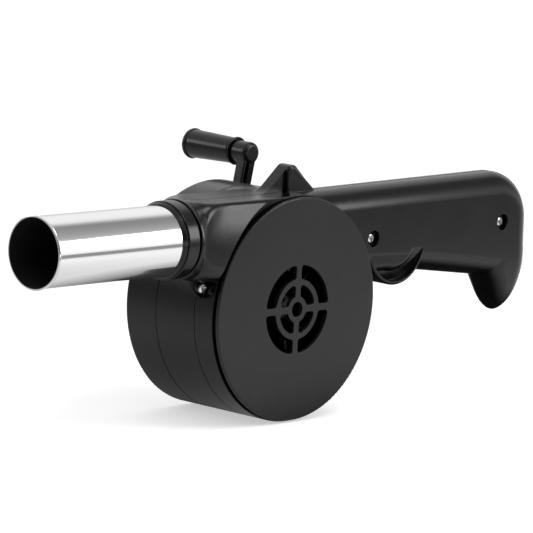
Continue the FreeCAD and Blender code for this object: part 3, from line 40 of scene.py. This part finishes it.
class Signal:
    """A shader value that takes part in plain arithmetic."""

    def __init__(self, bench: "Bench", socket: bpy.types.NodeSocket) -> None:
        """Wraps one output socket of a node tree.

        Args:
            bench: the bench that owns the node tree.
            socket: the output socket.
        """
        self.bench = bench
        self.socket = socket

    def _maths(self, operation: str, *values: Operand, clamp: bool = False) -> "Signal":
        """Adds one Math node.

        Args:
            operation: the Math node's operation.
            values: its inputs, signals or numbers.
            clamp: whether the result is held between 0 and 1.

        Returns:
            The node's output as a signal.
        """
        settings = {"operation": operation, "use_clamp": clamp}
        node = self.bench.add("ShaderNodeMath", settings, dict(enumerate(values)))
        return Signal(self.bench, node.outputs[0])

    def __add__(self, other: Operand) -> "Signal":
        """Sum."""
        return self._maths("ADD", self, other)

    def __radd__(self, other: float) -> "Signal":
        """Sum with a number on the left."""
        return self._maths("ADD", other, self)

    def __sub__(self, other: Operand) -> "Signal":
        """Difference."""
        return self._maths("SUBTRACT", self, other)

    def __rsub__(self, other: float) -> "Signal":
        """Difference with a number on the left."""
        return self._maths("SUBTRACT", other, self)

    def __mul__(self, other: Operand) -> "Signal":
        """Product."""
        return self._maths("MULTIPLY", self, other)

    def __rmul__(self, other: float) -> "Signal":
        """Product with a number on the left."""
        return self._maths("MULTIPLY", other, self)

    def __neg__(self) -> "Signal":
        """The signal with its sign turned."""
        return self._maths("MULTIPLY", self, -1.0)

    def __lt__(self, other: Operand) -> "Signal":
        """1 where the signal is below the other value, else 0."""
        return self._maths("LESS_THAN", self, other)

    def __gt__(self, other: Operand) -> "Signal":
        """The reflected form of less than: 1 where the signal is above the other value."""
        return self._maths("GREATER_THAN", self, other)

    def root(self) -> "Signal":
        """Square root."""
        return self._maths("SQRT", self)

    def angle_to(self, other: "Signal") -> "Signal":
        """Angle whose tangent is this signal over the other one, in radians."""
        return self._maths("ARCTAN2", self, other)

    def ramp_between(self, low: float, high: float) -> "Signal":
        """Rises from 0 at low to 1 at high, and is held there.

        Args:
            low: the value that gives 0.
            high: the value that gives 1.

        Returns:
            The rising signal.
        """
        return self._maths("MULTIPLY", self - low, 1.0 / (high - low), clamp=True)


@dataclass(frozen=True)
class Mottle:
    """A soft irregular pattern: size of a blotch, finer layers, their share, and its stretch."""

    size: float
    layers: float = 2.0
    finer: float = 0.5
    stretch: Point = (1.0, 1.0, 1.0)


class Bench:
    """Lays out the nodes of one material or world."""

    def __init__(self, tree: bpy.types.NodeTree) -> None:
        """Empties the tree.

        Args:
            tree: the node tree to fill.
        """
        self.tree = tree
        tree.nodes.clear()

    def add(self, kind: str, settings: Optional[Dict[str, Any]] = None,
            sockets: Optional[Dict[Union[str, int], Any]] = None) -> bpy.types.Node:
        """Adds a node.

        Args:
            kind: the node's type name.
            settings: its properties, set first; "stops" holds a ramp's (place, colour) pairs.
            sockets: values, signals or sockets for its inputs, by name or number.

        Returns:
            The node.
        """
        node = self.tree.nodes.new(kind)
        for key, value in (settings or {}).items():
            if key == "stops":
                self._set_stops(node.color_ramp, value)
            else:
                setattr(node, key, value)
        for key, value in (sockets or {}).items():
            if isinstance(value, Signal):
                value = value.socket
            if isinstance(value, bpy.types.NodeSocket):
                self.tree.links.new(value, node.inputs[key])
            else:
                node.inputs[key].default_value = value
        return node

    @staticmethod
    def _set_stops(ramp: bpy.types.ColorRamp, stops: Sequence[Tuple[float, Colour]]) -> None:
        """Writes the stops of a colour ramp.

        Args:
            ramp: the ramp to fill.
            stops: (place, colour) pairs in rising order.
        """
        while len(ramp.elements) > 1:
            ramp.elements.remove(ramp.elements[-1])
        for index, (place, colour) in enumerate(stops):
            element = ramp.elements[0] if index == 0 else ramp.elements.new(place)
            element.position = place
            element.color = (*colour, 1.0)

    def place(self) -> bpy.types.NodeSocket:
        """Object coordinates in metres."""
        return self.add("ShaderNodeTexCoord").outputs["Object"]

    def axes(self, vector: bpy.types.NodeSocket) -> Tuple[Signal, Signal, Signal]:
        """Splits a vector into its three parts.

        Args:
            vector: the vector's socket.

        Returns:
            x, y and z.
        """
        split = self.add("ShaderNodeSeparateXYZ", None, {0: vector})
        return tuple(Signal(self, output) for output in split.outputs)

    def mottle(self, kind: Mottle) -> Signal:
        """Lays out a soft irregular pattern.

        Args:
            kind: its size and make-up.

        Returns:
            The pattern's value, 0 to 1 around the middle.
        """
        scale = [1.0 / (kind.size * factor) for factor in kind.stretch]
        mapped = self.add("ShaderNodeMapping", None, {"Vector": self.place(), "Scale": scale})
        node = self.add("ShaderNodeTexNoise", None,
                        {"Vector": mapped.outputs[0], "Scale": 1.0, "Detail": kind.layers,
                         "Roughness": kind.finer})
        return Signal(self, node.outputs["Fac"])

    def mix(self, share: Operand, first: Any, second: Any) -> bpy.types.NodeSocket:
        """Mixes two colours.

        Args:
            share: 0 gives the first colour, 1 the second.
            first: a colour or a colour socket.
            second: a colour or a colour socket.

        Returns:
            The mixed colour's socket.
        """
        node = self.add("ShaderNodeMix", {"data_type": "RGBA"},
                        {MIX_SHARE: share, MIX_FIRST: self._colour(first),
                         MIX_SECOND: self._colour(second)})
        return node.outputs[MIX_RESULT]

    @staticmethod
    def _colour(value: Any) -> Any:
        """Adds the fourth part to a plain colour."""
        return (*value, 1.0) if isinstance(value, tuple) else value

    def bump(self, height: Signal, depth: float, edge: float = 0.0) -> bpy.types.NodeSocket:
        """Turns a height into a normal.

        Args:
            height: the relief, 0 to 1.
            depth: its depth in metres.
            edge: radius in metres to which sharp edges look rounded; 0 leaves them sharp.

        Returns:
            The normal's socket.
        """
        sockets: Dict[Union[str, int], Any] = {"Strength": 1.0, "Distance": depth, "Height": height}
        if edge > 0:
            bevel = self.add("ShaderNodeBevel", {"samples": BEVEL_SAMPLES}, {"Radius": edge})
            sockets["Normal"] = bevel.outputs[0]
        return self.add("ShaderNodeBump", None, sockets).outputs[0]

    def surface(self, sockets: Dict[str, Any]) -> None:
        """Ends the material in one Principled surface.

        Args:
            sockets: values and links of the surface.
        """
        shader = self.add("ShaderNodeBsdfPrincipled", None, sockets)
        self.add("ShaderNodeOutputMaterial", None, {"Surface": shader.outputs[0]})


def grey(level: float, warmth: float = 0.0) -> Colour:
    """A grey with a slight warm or cool cast.

    Args:
        level: brightness, 0 to 1.
        warmth: positive is warmer.

    Returns:
        The colour.
    """
    return (level * (1 + warmth), level, level * (1 - warmth))


def shaded(colour: Colour, share: float) -> Colour:
    """A colour made darker.

    Args:
        colour: the colour.
        share: how much of it is left, 0 to 1.

    Returns:
        The darker colour.
    """
    return tuple(part * share for part in colour)


@dataclass(frozen=True)
class Finish:
    """What every finish has: a name and a way to make its material."""

    name: str

    def material(self) -> bpy.types.Material:
        """Makes the material.

        Returns:
            The material, named as the finish.
        """
        made = bpy.data.materials.new(self.name)
        made.use_nodes = True
        self.lay_out(Bench(made.node_tree))
        return made

    def lay_out(self, bench: Bench) -> None:
        """Lays out the nodes; each finish has its own.

        Args:
            bench: the bench to fill.
        """
        raise NotImplementedError


@dataclass(frozen=True)
class MouldedPlastic(Finish):
    """Black plastic from a spark-eroded mould: fine grain, faint flow marks and handling rub."""

    level: float = 0.0028
    level_spread: float = 0.4
    pale_warmth: float = 0.02
    roughness: float = 0.24
    ior: float = 1.44
    grain: Mottle = Mottle(0.35 * MM, 3.0, 0.6)
    grain_share: float = 0.75
    grain_depth: float = 0.0012 * MM
    speckle: Mottle = Mottle(1.1 * MM, 2.0, 0.6)
    speckle_shine: float = 0.05
    flow: Mottle = Mottle(14 * MM, 3.0, 0.55)
    flow_share: float = 0.6
    flow_shine: float = 0.08
    rub: Mottle = Mottle(5 * MM, 5.0, 0.7, (2.5, 1.0, 1.0))
    rub_between: Span = (0.56, 0.72)
    rub_cover: float = 0.35
    rub_lift: float = 2.2
    rub_shine: float = 0.05
    edge: float = 0.35 * MM

    def lay_out(self, bench: Bench) -> None:
        """Grain in the relief, flow marks in the colour, rub marks in the roughness.

        Args:
            bench: the bench to fill.
        """
        grain = bench.mottle(self.grain)
        speckle = bench.mottle(self.speckle)
        flow = bench.mottle(self.flow)
        rub = bench.mottle(self.rub).ramp_between(*self.rub_between)
        tone = bench.mix(flow * self.flow_share + speckle * (1 - self.flow_share),
                         grey(self.level * (1 - self.level_spread)),
                         grey(self.level * (1 + self.level_spread), self.pale_warmth))
        colour = bench.mix(rub * self.rub_cover, tone, grey(self.level * self.rub_lift))
        shine = (self.roughness + (speckle - MIDDLE) * self.speckle_shine
                 + (flow - MIDDLE) * self.flow_shine - rub * self.rub_shine)
        relief = grain * self.grain_share + speckle * (1 - self.grain_share)
        bench.surface({"Base Color": colour, "Roughness": shine, "IOR": self.ior,
                       "Normal": bench.bump(relief, self.grain_depth, self.edge)})


@dataclass(frozen=True)
class PolishedTube(Finish):
    """Drawn stainless tube, polished outside along its length, with painted shade inside the bore."""

    outer_r: float = 14.5 * MM
    wall: float = 0.5 * MM
    level: float = 0.93
    level_spread: float = 0.03
    pale_warmth: float = 0.005
    roughness: float = 0.10
    lines: Mottle = Mottle(0.30 * MM, 3.0, 0.6, (60.0, 1.0, 1.0))
    line_share: float = 0.5
    line_shine: float = 0.10
    line_depth: float = 0.0015 * MM
    haze: Mottle = Mottle(9 * MM, 3.0, 0.6, (3.0, 1.0, 1.0))
    haze_shine: float = 0.06
    # painted shade: near-black colours for the inside of the bore, where shade falls
    bore_shade: Colour = grey(0.004)
    thin_bore_shade: Colour = grey(0.014, 0.04)
    bore_roughness: float = 0.8
    bore_gloss: float = 0.3

    def lay_out(self, bench: Bench) -> None:
        """Bright outside with fine lengthwise lines, dull black painted shade inside.

        Args:
            bench: the bench to fill.
        """
        _, y, z = bench.axes(bench.place())
        inside = (y * y + z * z).root() < self.outer_r - self.wall / 2
        lines = bench.mottle(self.lines)
        haze = bench.mottle(self.haze)
        metal = bench.mix(lines * self.line_share + haze * (1 - self.line_share),
                          grey(self.level * (1 - self.level_spread)),
                          grey(self.level * (1 + self.level_spread), self.pale_warmth))
        # painted shade: the bore is coloured near-black instead of showing reflections
        bore_shade = bench.mix(haze, self.bore_shade, self.thin_bore_shade)
        shine = (self.roughness + (lines - MIDDLE) * self.line_shine
                 + (haze - MIDDLE) * self.haze_shine)
        bench.surface({"Base Color": bench.mix(inside, metal, bore_shade), "Metallic": 1.0 - inside,
                       "Roughness": shine + inside * (self.bore_roughness - shine),
                       "Specular IOR Level": self.bore_gloss,
                       "Normal": bench.bump(lines, self.line_depth)})


@dataclass(frozen=True)
class TurnedMetal(Finish):
    """Machined, plated or ground metal with fine scratches."""

    colour: Colour = (0.6, 0.6, 0.6)
    patina: float = 0.25
    roughness: float = 0.25
    scratch: Mottle = Mottle(0.2 * MM, 4.0, 0.65, (1.0, 6.0, 1.0))
    scratch_shine: float = 0.2
    scratch_depth: float = 0.004 * MM
    blotch: Mottle = Mottle(2.5 * MM, 3.0, 0.6)
    blotch_share: float = 0.7
    blotch_shine: float = 0.15

    def lay_out(self, bench: Bench) -> None:
        """Scratches in the roughness and the relief, patina in the colour.

        Args:
            bench: the bench to fill.
        """
        scratch = bench.mottle(self.scratch)
        blotch = bench.mottle(self.blotch)
        worn = blotch * self.blotch_share + scratch * (1 - self.blotch_share)
        colour = bench.mix(worn, self.colour, shaded(self.colour, 1 - self.patina))
        shine = (self.roughness + (scratch - MIDDLE) * self.scratch_shine
                 + (blotch - MIDDLE) * self.blotch_shine)
        bench.surface({"Base Color": colour, "Metallic": 1.0, "Roughness": shine,
                       "Normal": bench.bump(scratch, self.scratch_depth)})


@dataclass(frozen=True)
class NaturalNylon(Finish):
    """Milky moulded nylon with a little grease."""

    colour: Colour = (0.74, 0.71, 0.62)
    cloud: Mottle = Mottle(4 * MM, 3.0, 0.5)
    cloud_shade: float = 0.82
    cloud_shine: float = 0.1
    roughness: float = 0.45
    grease: Mottle = Mottle(3 * MM, 4.0, 0.6)
    grease_between: Span = (0.5, 0.62)
    grease_shine: float = 0.22
    milkiness: float = 0.08
    milk_reach: Colour = (0.8 * MM, 0.7 * MM, 0.5 * MM)
    skin: Mottle = Mottle(0.6 * MM)
    skin_depth: float = 0.01 * MM

    def lay_out(self, bench: Bench) -> None:
        """Cloudy colour; grease makes it shinier in patches.

        Args:
            bench: the bench to fill.
        """
        cloud = bench.mottle(self.cloud)
        grease = bench.mottle(self.grease).ramp_between(*self.grease_between)
        colour = bench.mix(cloud, self.colour, shaded(self.colour, self.cloud_shade))
        shine = self.roughness - grease * self.grease_shine + (cloud - MIDDLE) * self.cloud_shine
        bench.surface({"Base Color": colour, "Roughness": shine,
                       "Subsurface Weight": self.milkiness, "Subsurface Radius": self.milk_reach,
                       "Normal": bench.bump(bench.mottle(self.skin), self.skin_depth)})


class Palette(Enum):
    """The blower's finishes."""

    BODY_BLACK = MouldedPlastic("body_black")
    DISC_BLACK = MouldedPlastic("disc_black", level=0.010, roughness=0.32,
                                flow=Mottle(22 * MM, 3.0, 0.55))
    CRANK_BLACK = MouldedPlastic("crank_black", level=0.003, roughness=0.26,
                                 grain_depth=0.0015 * MM)
    FAN_BLACK = MouldedPlastic("fan_black", level=0.0035, roughness=0.42, edge=0.2 * MM)
    BRIGHT_TUBE = PolishedTube("bright_tube")
    BRIGHT_ZINC = TurnedMetal("bright_zinc", colour=(0.90, 0.90, 0.89), roughness=0.13)
    GROUND_STEEL = TurnedMetal("ground_steel", colour=(0.55, 0.55, 0.56), roughness=0.28)
    DARK_STEEL = TurnedMetal("dark_steel", colour=(0.10, 0.10, 0.105), roughness=0.4)
    SPRING_STEEL = TurnedMetal("spring_steel", colour=(0.32, 0.31, 0.30), roughness=0.35)
    BUSH_BRASS = TurnedMetal("bush_brass", colour=(0.75, 0.55, 0.27), roughness=0.3, patina=0.35)
    GEAR_NYLON = NaturalNylon("gear_nylon")


class SubAssembly:
    """Solids of the frame that belong together; each kind names the finish of every one."""

    made: ClassVar[Dict[Palette, bpy.types.Material]] = {}

    def finishes(self) -> Dict[str, Palette]:
        """Finish of each solid, by the solid's name."""
        raise NotImplementedError

    def dress(self) -> None:
        """Gives each solid its material."""
        for node, finish in self.finishes().items():
            if finish not in self.made:
                self.made[finish] = finish.value.material()
            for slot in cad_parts[node].material_slots:
                slot.material = self.made[finish]
            LOG.info("%s: %s", node, finish.value.name)


@dataclass
class Housing(SubAssembly):
    """The body's two halves and the cover of the gear case."""

    shell: Palette = Palette.BODY_BLACK

    def finishes(self) -> Dict[str, Palette]:
        """All three are moulded from the same black."""
        return {"near_shell": self.shell, "far_shell": self.shell, "gear_case_cover": self.shell}


@dataclass
class AirInlet(SubAssembly):
    """The round slotted cover over the fan."""

    disc: Palette = Palette.DISC_BLACK

    def finishes(self) -> Dict[str, Palette]:
        """The cover is duller than the body."""
        return {"inlet_cover": self.disc}


@dataclass
class Nozzle(SubAssembly):
    """The bright tube and the collar that holds it."""

    collar: Palette = Palette.BODY_BLACK
    tube: Palette = Palette.BRIGHT_TUBE

    def finishes(self) -> Dict[str, Palette]:
        """A black collar and a bright tube."""
        return {"nozzle_collar": self.collar, "nozzle_tube": self.tube}


@dataclass
class Fasteners(SubAssembly):
    """Screws of the handle, the ears and the gear case."""

    screw: Palette = Palette.BRIGHT_ZINC

    def finishes(self) -> Dict[str, Palette]:
        """All screws are zinc plated."""
        return {"handle_screws": self.screw, "ear_screws": self.screw, "gear_case_screws": self.screw}


@dataclass
class GearTrain(SubAssembly):
    """Gears, shafts, bushes and clip between the crank and the fan."""

    bush: Palette = Palette.BUSH_BRASS
    shaft: Palette = Palette.GROUND_STEEL
    clip: Palette = Palette.SPRING_STEEL
    gear: Palette = Palette.GEAR_NYLON

    def finishes(self) -> Dict[str, Palette]:
        """Brass bushes, steel shafts, nylon gears.

        Returns:
            Finish of each solid, by the solid's name.
        """
        return {"fan_bush": self.bush, "crank_bush_inner": self.bush, "crank_bush_outer": self.bush,
                "idler_axle": self.shaft, "crank_shaft": self.shaft, "fan_shaft": self.shaft,
                "idler_clip": self.clip, "fan_pinion": self.gear, "idler_gear": self.gear,
                "crank_gear": self.gear}


@dataclass
class Fan(SubAssembly):
    """The impeller and its nut."""

    wheel: Palette = Palette.FAN_BLACK
    nut: Palette = Palette.DARK_STEEL

    def finishes(self) -> Dict[str, Palette]:
        """A dull black wheel on a dark nut."""
        return {"impeller": self.wheel, "impeller_nut": self.nut}


@dataclass
class Crank(SubAssembly):
    """The arm on the crank shaft and the knob that turns on it."""

    moulding: Palette = Palette.CRANK_BLACK
    washer: Palette = Palette.DARK_STEEL
    screw: Palette = Palette.BRIGHT_ZINC
    pin: Palette = Palette.GROUND_STEEL

    def finishes(self) -> Dict[str, Palette]:
        """Black mouldings on steel."""
        return {"crank_washer": self.washer, "crank_arm": self.moulding, "crank_screw": self.screw,
                "knob_pin": self.pin, "knob_grip": self.moulding, "knob_end_cap": self.moulding}


@dataclass(frozen=True)
class SoftBox:
    """A rectangular soft light that faces one point."""

    name: str
    centre: Point
    aim: Point
    width: float
    height: float
    radiance: float

    def build(self) -> None:
        """Adds the light; the camera doesn't see the lamp itself."""
        data = bpy.data.lights.new(self.name, "AREA")
        data.shape = "RECTANGLE"
        data.size = self.width
        data.size_y = self.height
        data.energy = self.radiance * math.pi * self.width * self.height
        lamp = bpy.data.objects.new(self.name, data)
        lamp.visible_camera = False
        away = Vector(self.centre) - Vector(self.aim)
        turn = away.to_track_quat("Z", "Y").to_matrix().to_4x4()
        lamp.matrix_world = Matrix.Translation(Vector(self.centre)) @ turn
        bpy.context.scene.collection.objects.link(lamp)
        LOG.info("%s: soft light", self.name)


SOFT_BOXES = (
    SoftBox("front_box", centre=(0.40, -0.30, 0.137), aim=(0.08, -0.01, 0.0),
            width=0.14, height=0.20, radiance=5.0),
    SoftBox("side_box", centre=(-0.23, 0.47, 0.21), aim=(0.17, 0.07, 0.02),
            width=0.20, height=0.16, radiance=3.0),
    SoftBox("top_box", centre=(0.30, -0.34, 0.72), aim=(0.14, 0.0, 0.0),
            width=0.50, height=0.25, radiance=4.0),
    SoftBox("low_box", centre=(0.02, -0.62, -0.02), aim=(0.14, 0.0, 0.04),
            width=0.12, height=0.08, radiance=5.0))


@dataclass(frozen=True)
class MirroredFloor:
    """Painted reflection: brightness of the floor's parts as glossy surfaces see them, and where they
    lie; shade is a painted shadow under the drum.
    """

    middle: float = 0.65
    right: float = 0.98
    right_rise: Span = (0.0, 0.25)
    left: float = 0.38
    left_rise: Span = (0.1, 0.4)
    strip: float = 0.28
    strip_start: Span = (0.26, 0.33)
    strip_end: Span = (0.9, 1.4)
    shade: float = 0.03
    shade_centre: FloorPoint = (0.25, 0.04)
    shade_reach: FloorPoint = (0.16, 0.09)
    shade_fade: Span = (0.7, 1.25)

    def tone(self, bench: Bench) -> bpy.types.NodeSocket:
        """Lays out the painted reflection's brightness by place.

        Args:
            bench: the floor material's bench.

        Returns:
            The colour's socket.
        """
        x, y, _ = bench.axes(bench.place())
        off_x = (x - self.shade_centre[0]) * (1.0 / self.shade_reach[0])
        off_y = (y - self.shade_centre[1]) * (1.0 / self.shade_reach[1])
        # painted shadow in reflections: a dark patch under the drum
        under = 1.0 - (off_x * off_x + off_y * off_y).root().ramp_between(*self.shade_fade)
        across = x * RIGHTWARD[0] + y * RIGHTWARD[1]
        nearer = -y
        ahead = nearer.ramp_between(*self.strip_start) * (1.0 - nearer.ramp_between(*self.strip_end))
        level = bench.mix(across.ramp_between(*self.right_rise), grey(self.middle), grey(self.right))
        level = bench.mix((-across).ramp_between(*self.left_rise), level, grey(self.left))
        level = bench.mix(ahead, level, grey(self.strip))
        return bench.mix(under, level, grey(self.shade))


@dataclass(frozen=True)
class Floor:
    """A wide pale floor that keeps the object's shadow."""

    height: float = -79.9 * MM
    reach: float = 9.0
    colour: float = 0.80
    lift: float = 0.52
    mirrored: MirroredFloor = MirroredFloor()

    def material(self) -> bpy.types.Material:
        """Makes the floor's material.

        Returns:
            Pale paper, lifted to white for the camera, and toned by place in reflections.
        """
        made = bpy.data.materials.new("pale_floor")
        made.use_nodes = True
        bench = Bench(made.node_tree)
        ray = bench.add("ShaderNodeLightPath").outputs
        paper = bench.add("ShaderNodeBsdfDiffuse", None, {"Color": (*grey(self.colour), 1.0)})
        lift = bench.add("ShaderNodeEmission", None, {"Strength": self.lift})
        white = bench.add("ShaderNodeAddShader", None, {0: paper.outputs[0], 1: lift.outputs[0]})
        direct = bench.add("ShaderNodeMixShader", None,
                           {0: ray["Is Camera Ray"], 1: paper.outputs[0], 2: white.outputs[0]})
        image = bench.add("ShaderNodeEmission", None,
                          {"Color": self.mirrored.tone(bench), "Strength": 1.0})
        in_gloss = Signal(bench, ray["Is Glossy Ray"]) + Signal(bench, ray["Is Transmission Ray"])
        shown = bench.add("ShaderNodeMixShader", None,
                          {0: in_gloss, 1: direct.outputs[0], 2: image.outputs[0]})
        bench.add("ShaderNodeOutputMaterial", None, {"Surface": shown.outputs[0]})
        return made

    def build(self) -> None:
        """Adds the floor."""
        mesh = bpy.data.meshes.new("floor")
        signs = ((-1, -1), (1, -1), (1, 1), (-1, 1))
        corners = [(x * self.reach, y * self.reach, self.height) for x, y in signs]
        mesh.from_pydata(corners, [], [(0, 1, 2, 3)])
        floor = bpy.data.objects.new("floor", mesh)
        bpy.context.scene.collection.objects.link(floor)
        mesh.materials.append(self.material())
        LOG.info("floor: pale_floor")


@dataclass(frozen=True)
class Surroundings:
    """Dim studio with pale fields low in front and high behind the object.

    The ring holds (degrees, brightness) pairs around the x axis, from the front over the top.
    """

    ring: Tuple[Tuple[float, float], ...] = (
        (-20, 1.0), (8, 1.0), (20, 0.85), (30, 0.72), (39, 0.56), (44, 0.47), (53, 0.38),
        (73, 0.28), (88, 0.25), (95, 0.40), (102, 0.68), (108, 0.87), (118, 0.93), (150, 0.93),
        (165, 0.7), (180, 0.6))
    left_low: float = 0.30
    left_high: float = 0.75
    left_rise: Span = (0.15, 0.45)
    ring_side: Span = (-0.1, 0.35)
    eye_side: float = 0.10
    eye_rise: Span = (0.1, 0.6)
    eye_top: Span = (0.3, 0.7)
    backdrop: float = 1.0

    def build(self) -> None:
        """Adds the world; the camera sees it as plain white."""
        world = bpy.data.worlds.new("studio")
        world.use_nodes = True
        bench = Bench(world.node_tree)
        x, y, z = bench.axes(bench.add("ShaderNodeTexCoord").outputs["Generated"])
        turn = z.angle_to(-y) * (1.0 / math.tau) + 0.5
        stops = [(0.5 + math.radians(angle) / math.tau, grey(level)) for angle, level in self.ring]
        ring = bench.add("ShaderNodeValToRGB", {"stops": stops}, {0: turn})
        left = bench.mix(z.ramp_between(*self.left_rise), grey(self.left_low), grey(self.left_high))
        sides = bench.mix(x.ramp_between(*self.ring_side), left, ring.outputs[0])
        eyeward = (x * EYEWARD[0] + y * EYEWARD[1]).ramp_between(*self.eye_rise)
        eyeward = eyeward * (1.0 - z.ramp_between(*self.eye_top))
        seen = bench.mix(eyeward, sides, grey(self.eye_side))
        ray = bench.add("ShaderNodeLightPath").outputs
        shown = bench.mix(Signal(bench, ray["Is Camera Ray"]), seen, grey(self.backdrop))
        sky = bench.add("ShaderNodeBackground", None, {"Color": shown, "Strength": 1.0})
        bench.add("ShaderNodeOutputWorld", None, {"Surface": sky.outputs[0]})
        bpy.context.scene.world = world
        LOG.info("studio: surroundings")


@dataclass(frozen=True)
class Camera:
    """Camera with a long lens; angles in degrees, lens and sensor in millimetres."""

    eye: Point = (-1.1484, -1.2074, 0.2592)
    azimuth: float = -46.72
    elevation: float = 8.86
    roll: float = 3.18
    lens: float = 289.4
    sensor: float = 36.0
    clip: Span = (0.05, 60.0)

    def build(self) -> None:
        """Adds the camera and makes it the scene's own."""
        azimuth = math.radians(self.azimuth)
        elevation = math.radians(self.elevation)
        roll = math.radians(self.roll)
        ahead = Vector((-math.sin(azimuth) * math.cos(elevation),
                        math.cos(azimuth) * math.cos(elevation), -math.sin(elevation)))
        right = Vector((ahead.y, -ahead.x, 0)).normalized()
        up = right.cross(ahead)
        turned_right = math.cos(roll) * right + math.sin(roll) * up
        turned_up = math.cos(roll) * up - math.sin(roll) * right
        data = bpy.data.cameras.new("camera")
        data.lens = self.lens
        data.sensor_width = self.sensor
        data.clip_start, data.clip_end = self.clip
        camera = bpy.data.objects.new("camera", data)
        pose = Matrix((turned_right, turned_up, -ahead)).transposed().to_4x4()
        camera.matrix_world = Matrix.Translation(Vector(self.eye)) @ pose
        bpy.context.scene.collection.objects.link(camera)
        bpy.context.scene.camera = camera
        LOG.info("camera: long lens")


def main() -> None:
    """Dresses the blower's sub-assemblies in order, then sets up the studio."""
    logging.basicConfig(level=logging.INFO, format="%(message)s")
    for part in (Housing(), AirInlet(), Nozzle(), Fasteners(), GearTrain(), Fan(), Crank()):
        part.dress()
    for piece in (Floor(), Surroundings(), *SOFT_BOXES, Camera()):
        piece.build()
    bpy.context.scene.view_settings.view_transform = "Standard"


if __name__ == "__main__":
    main()
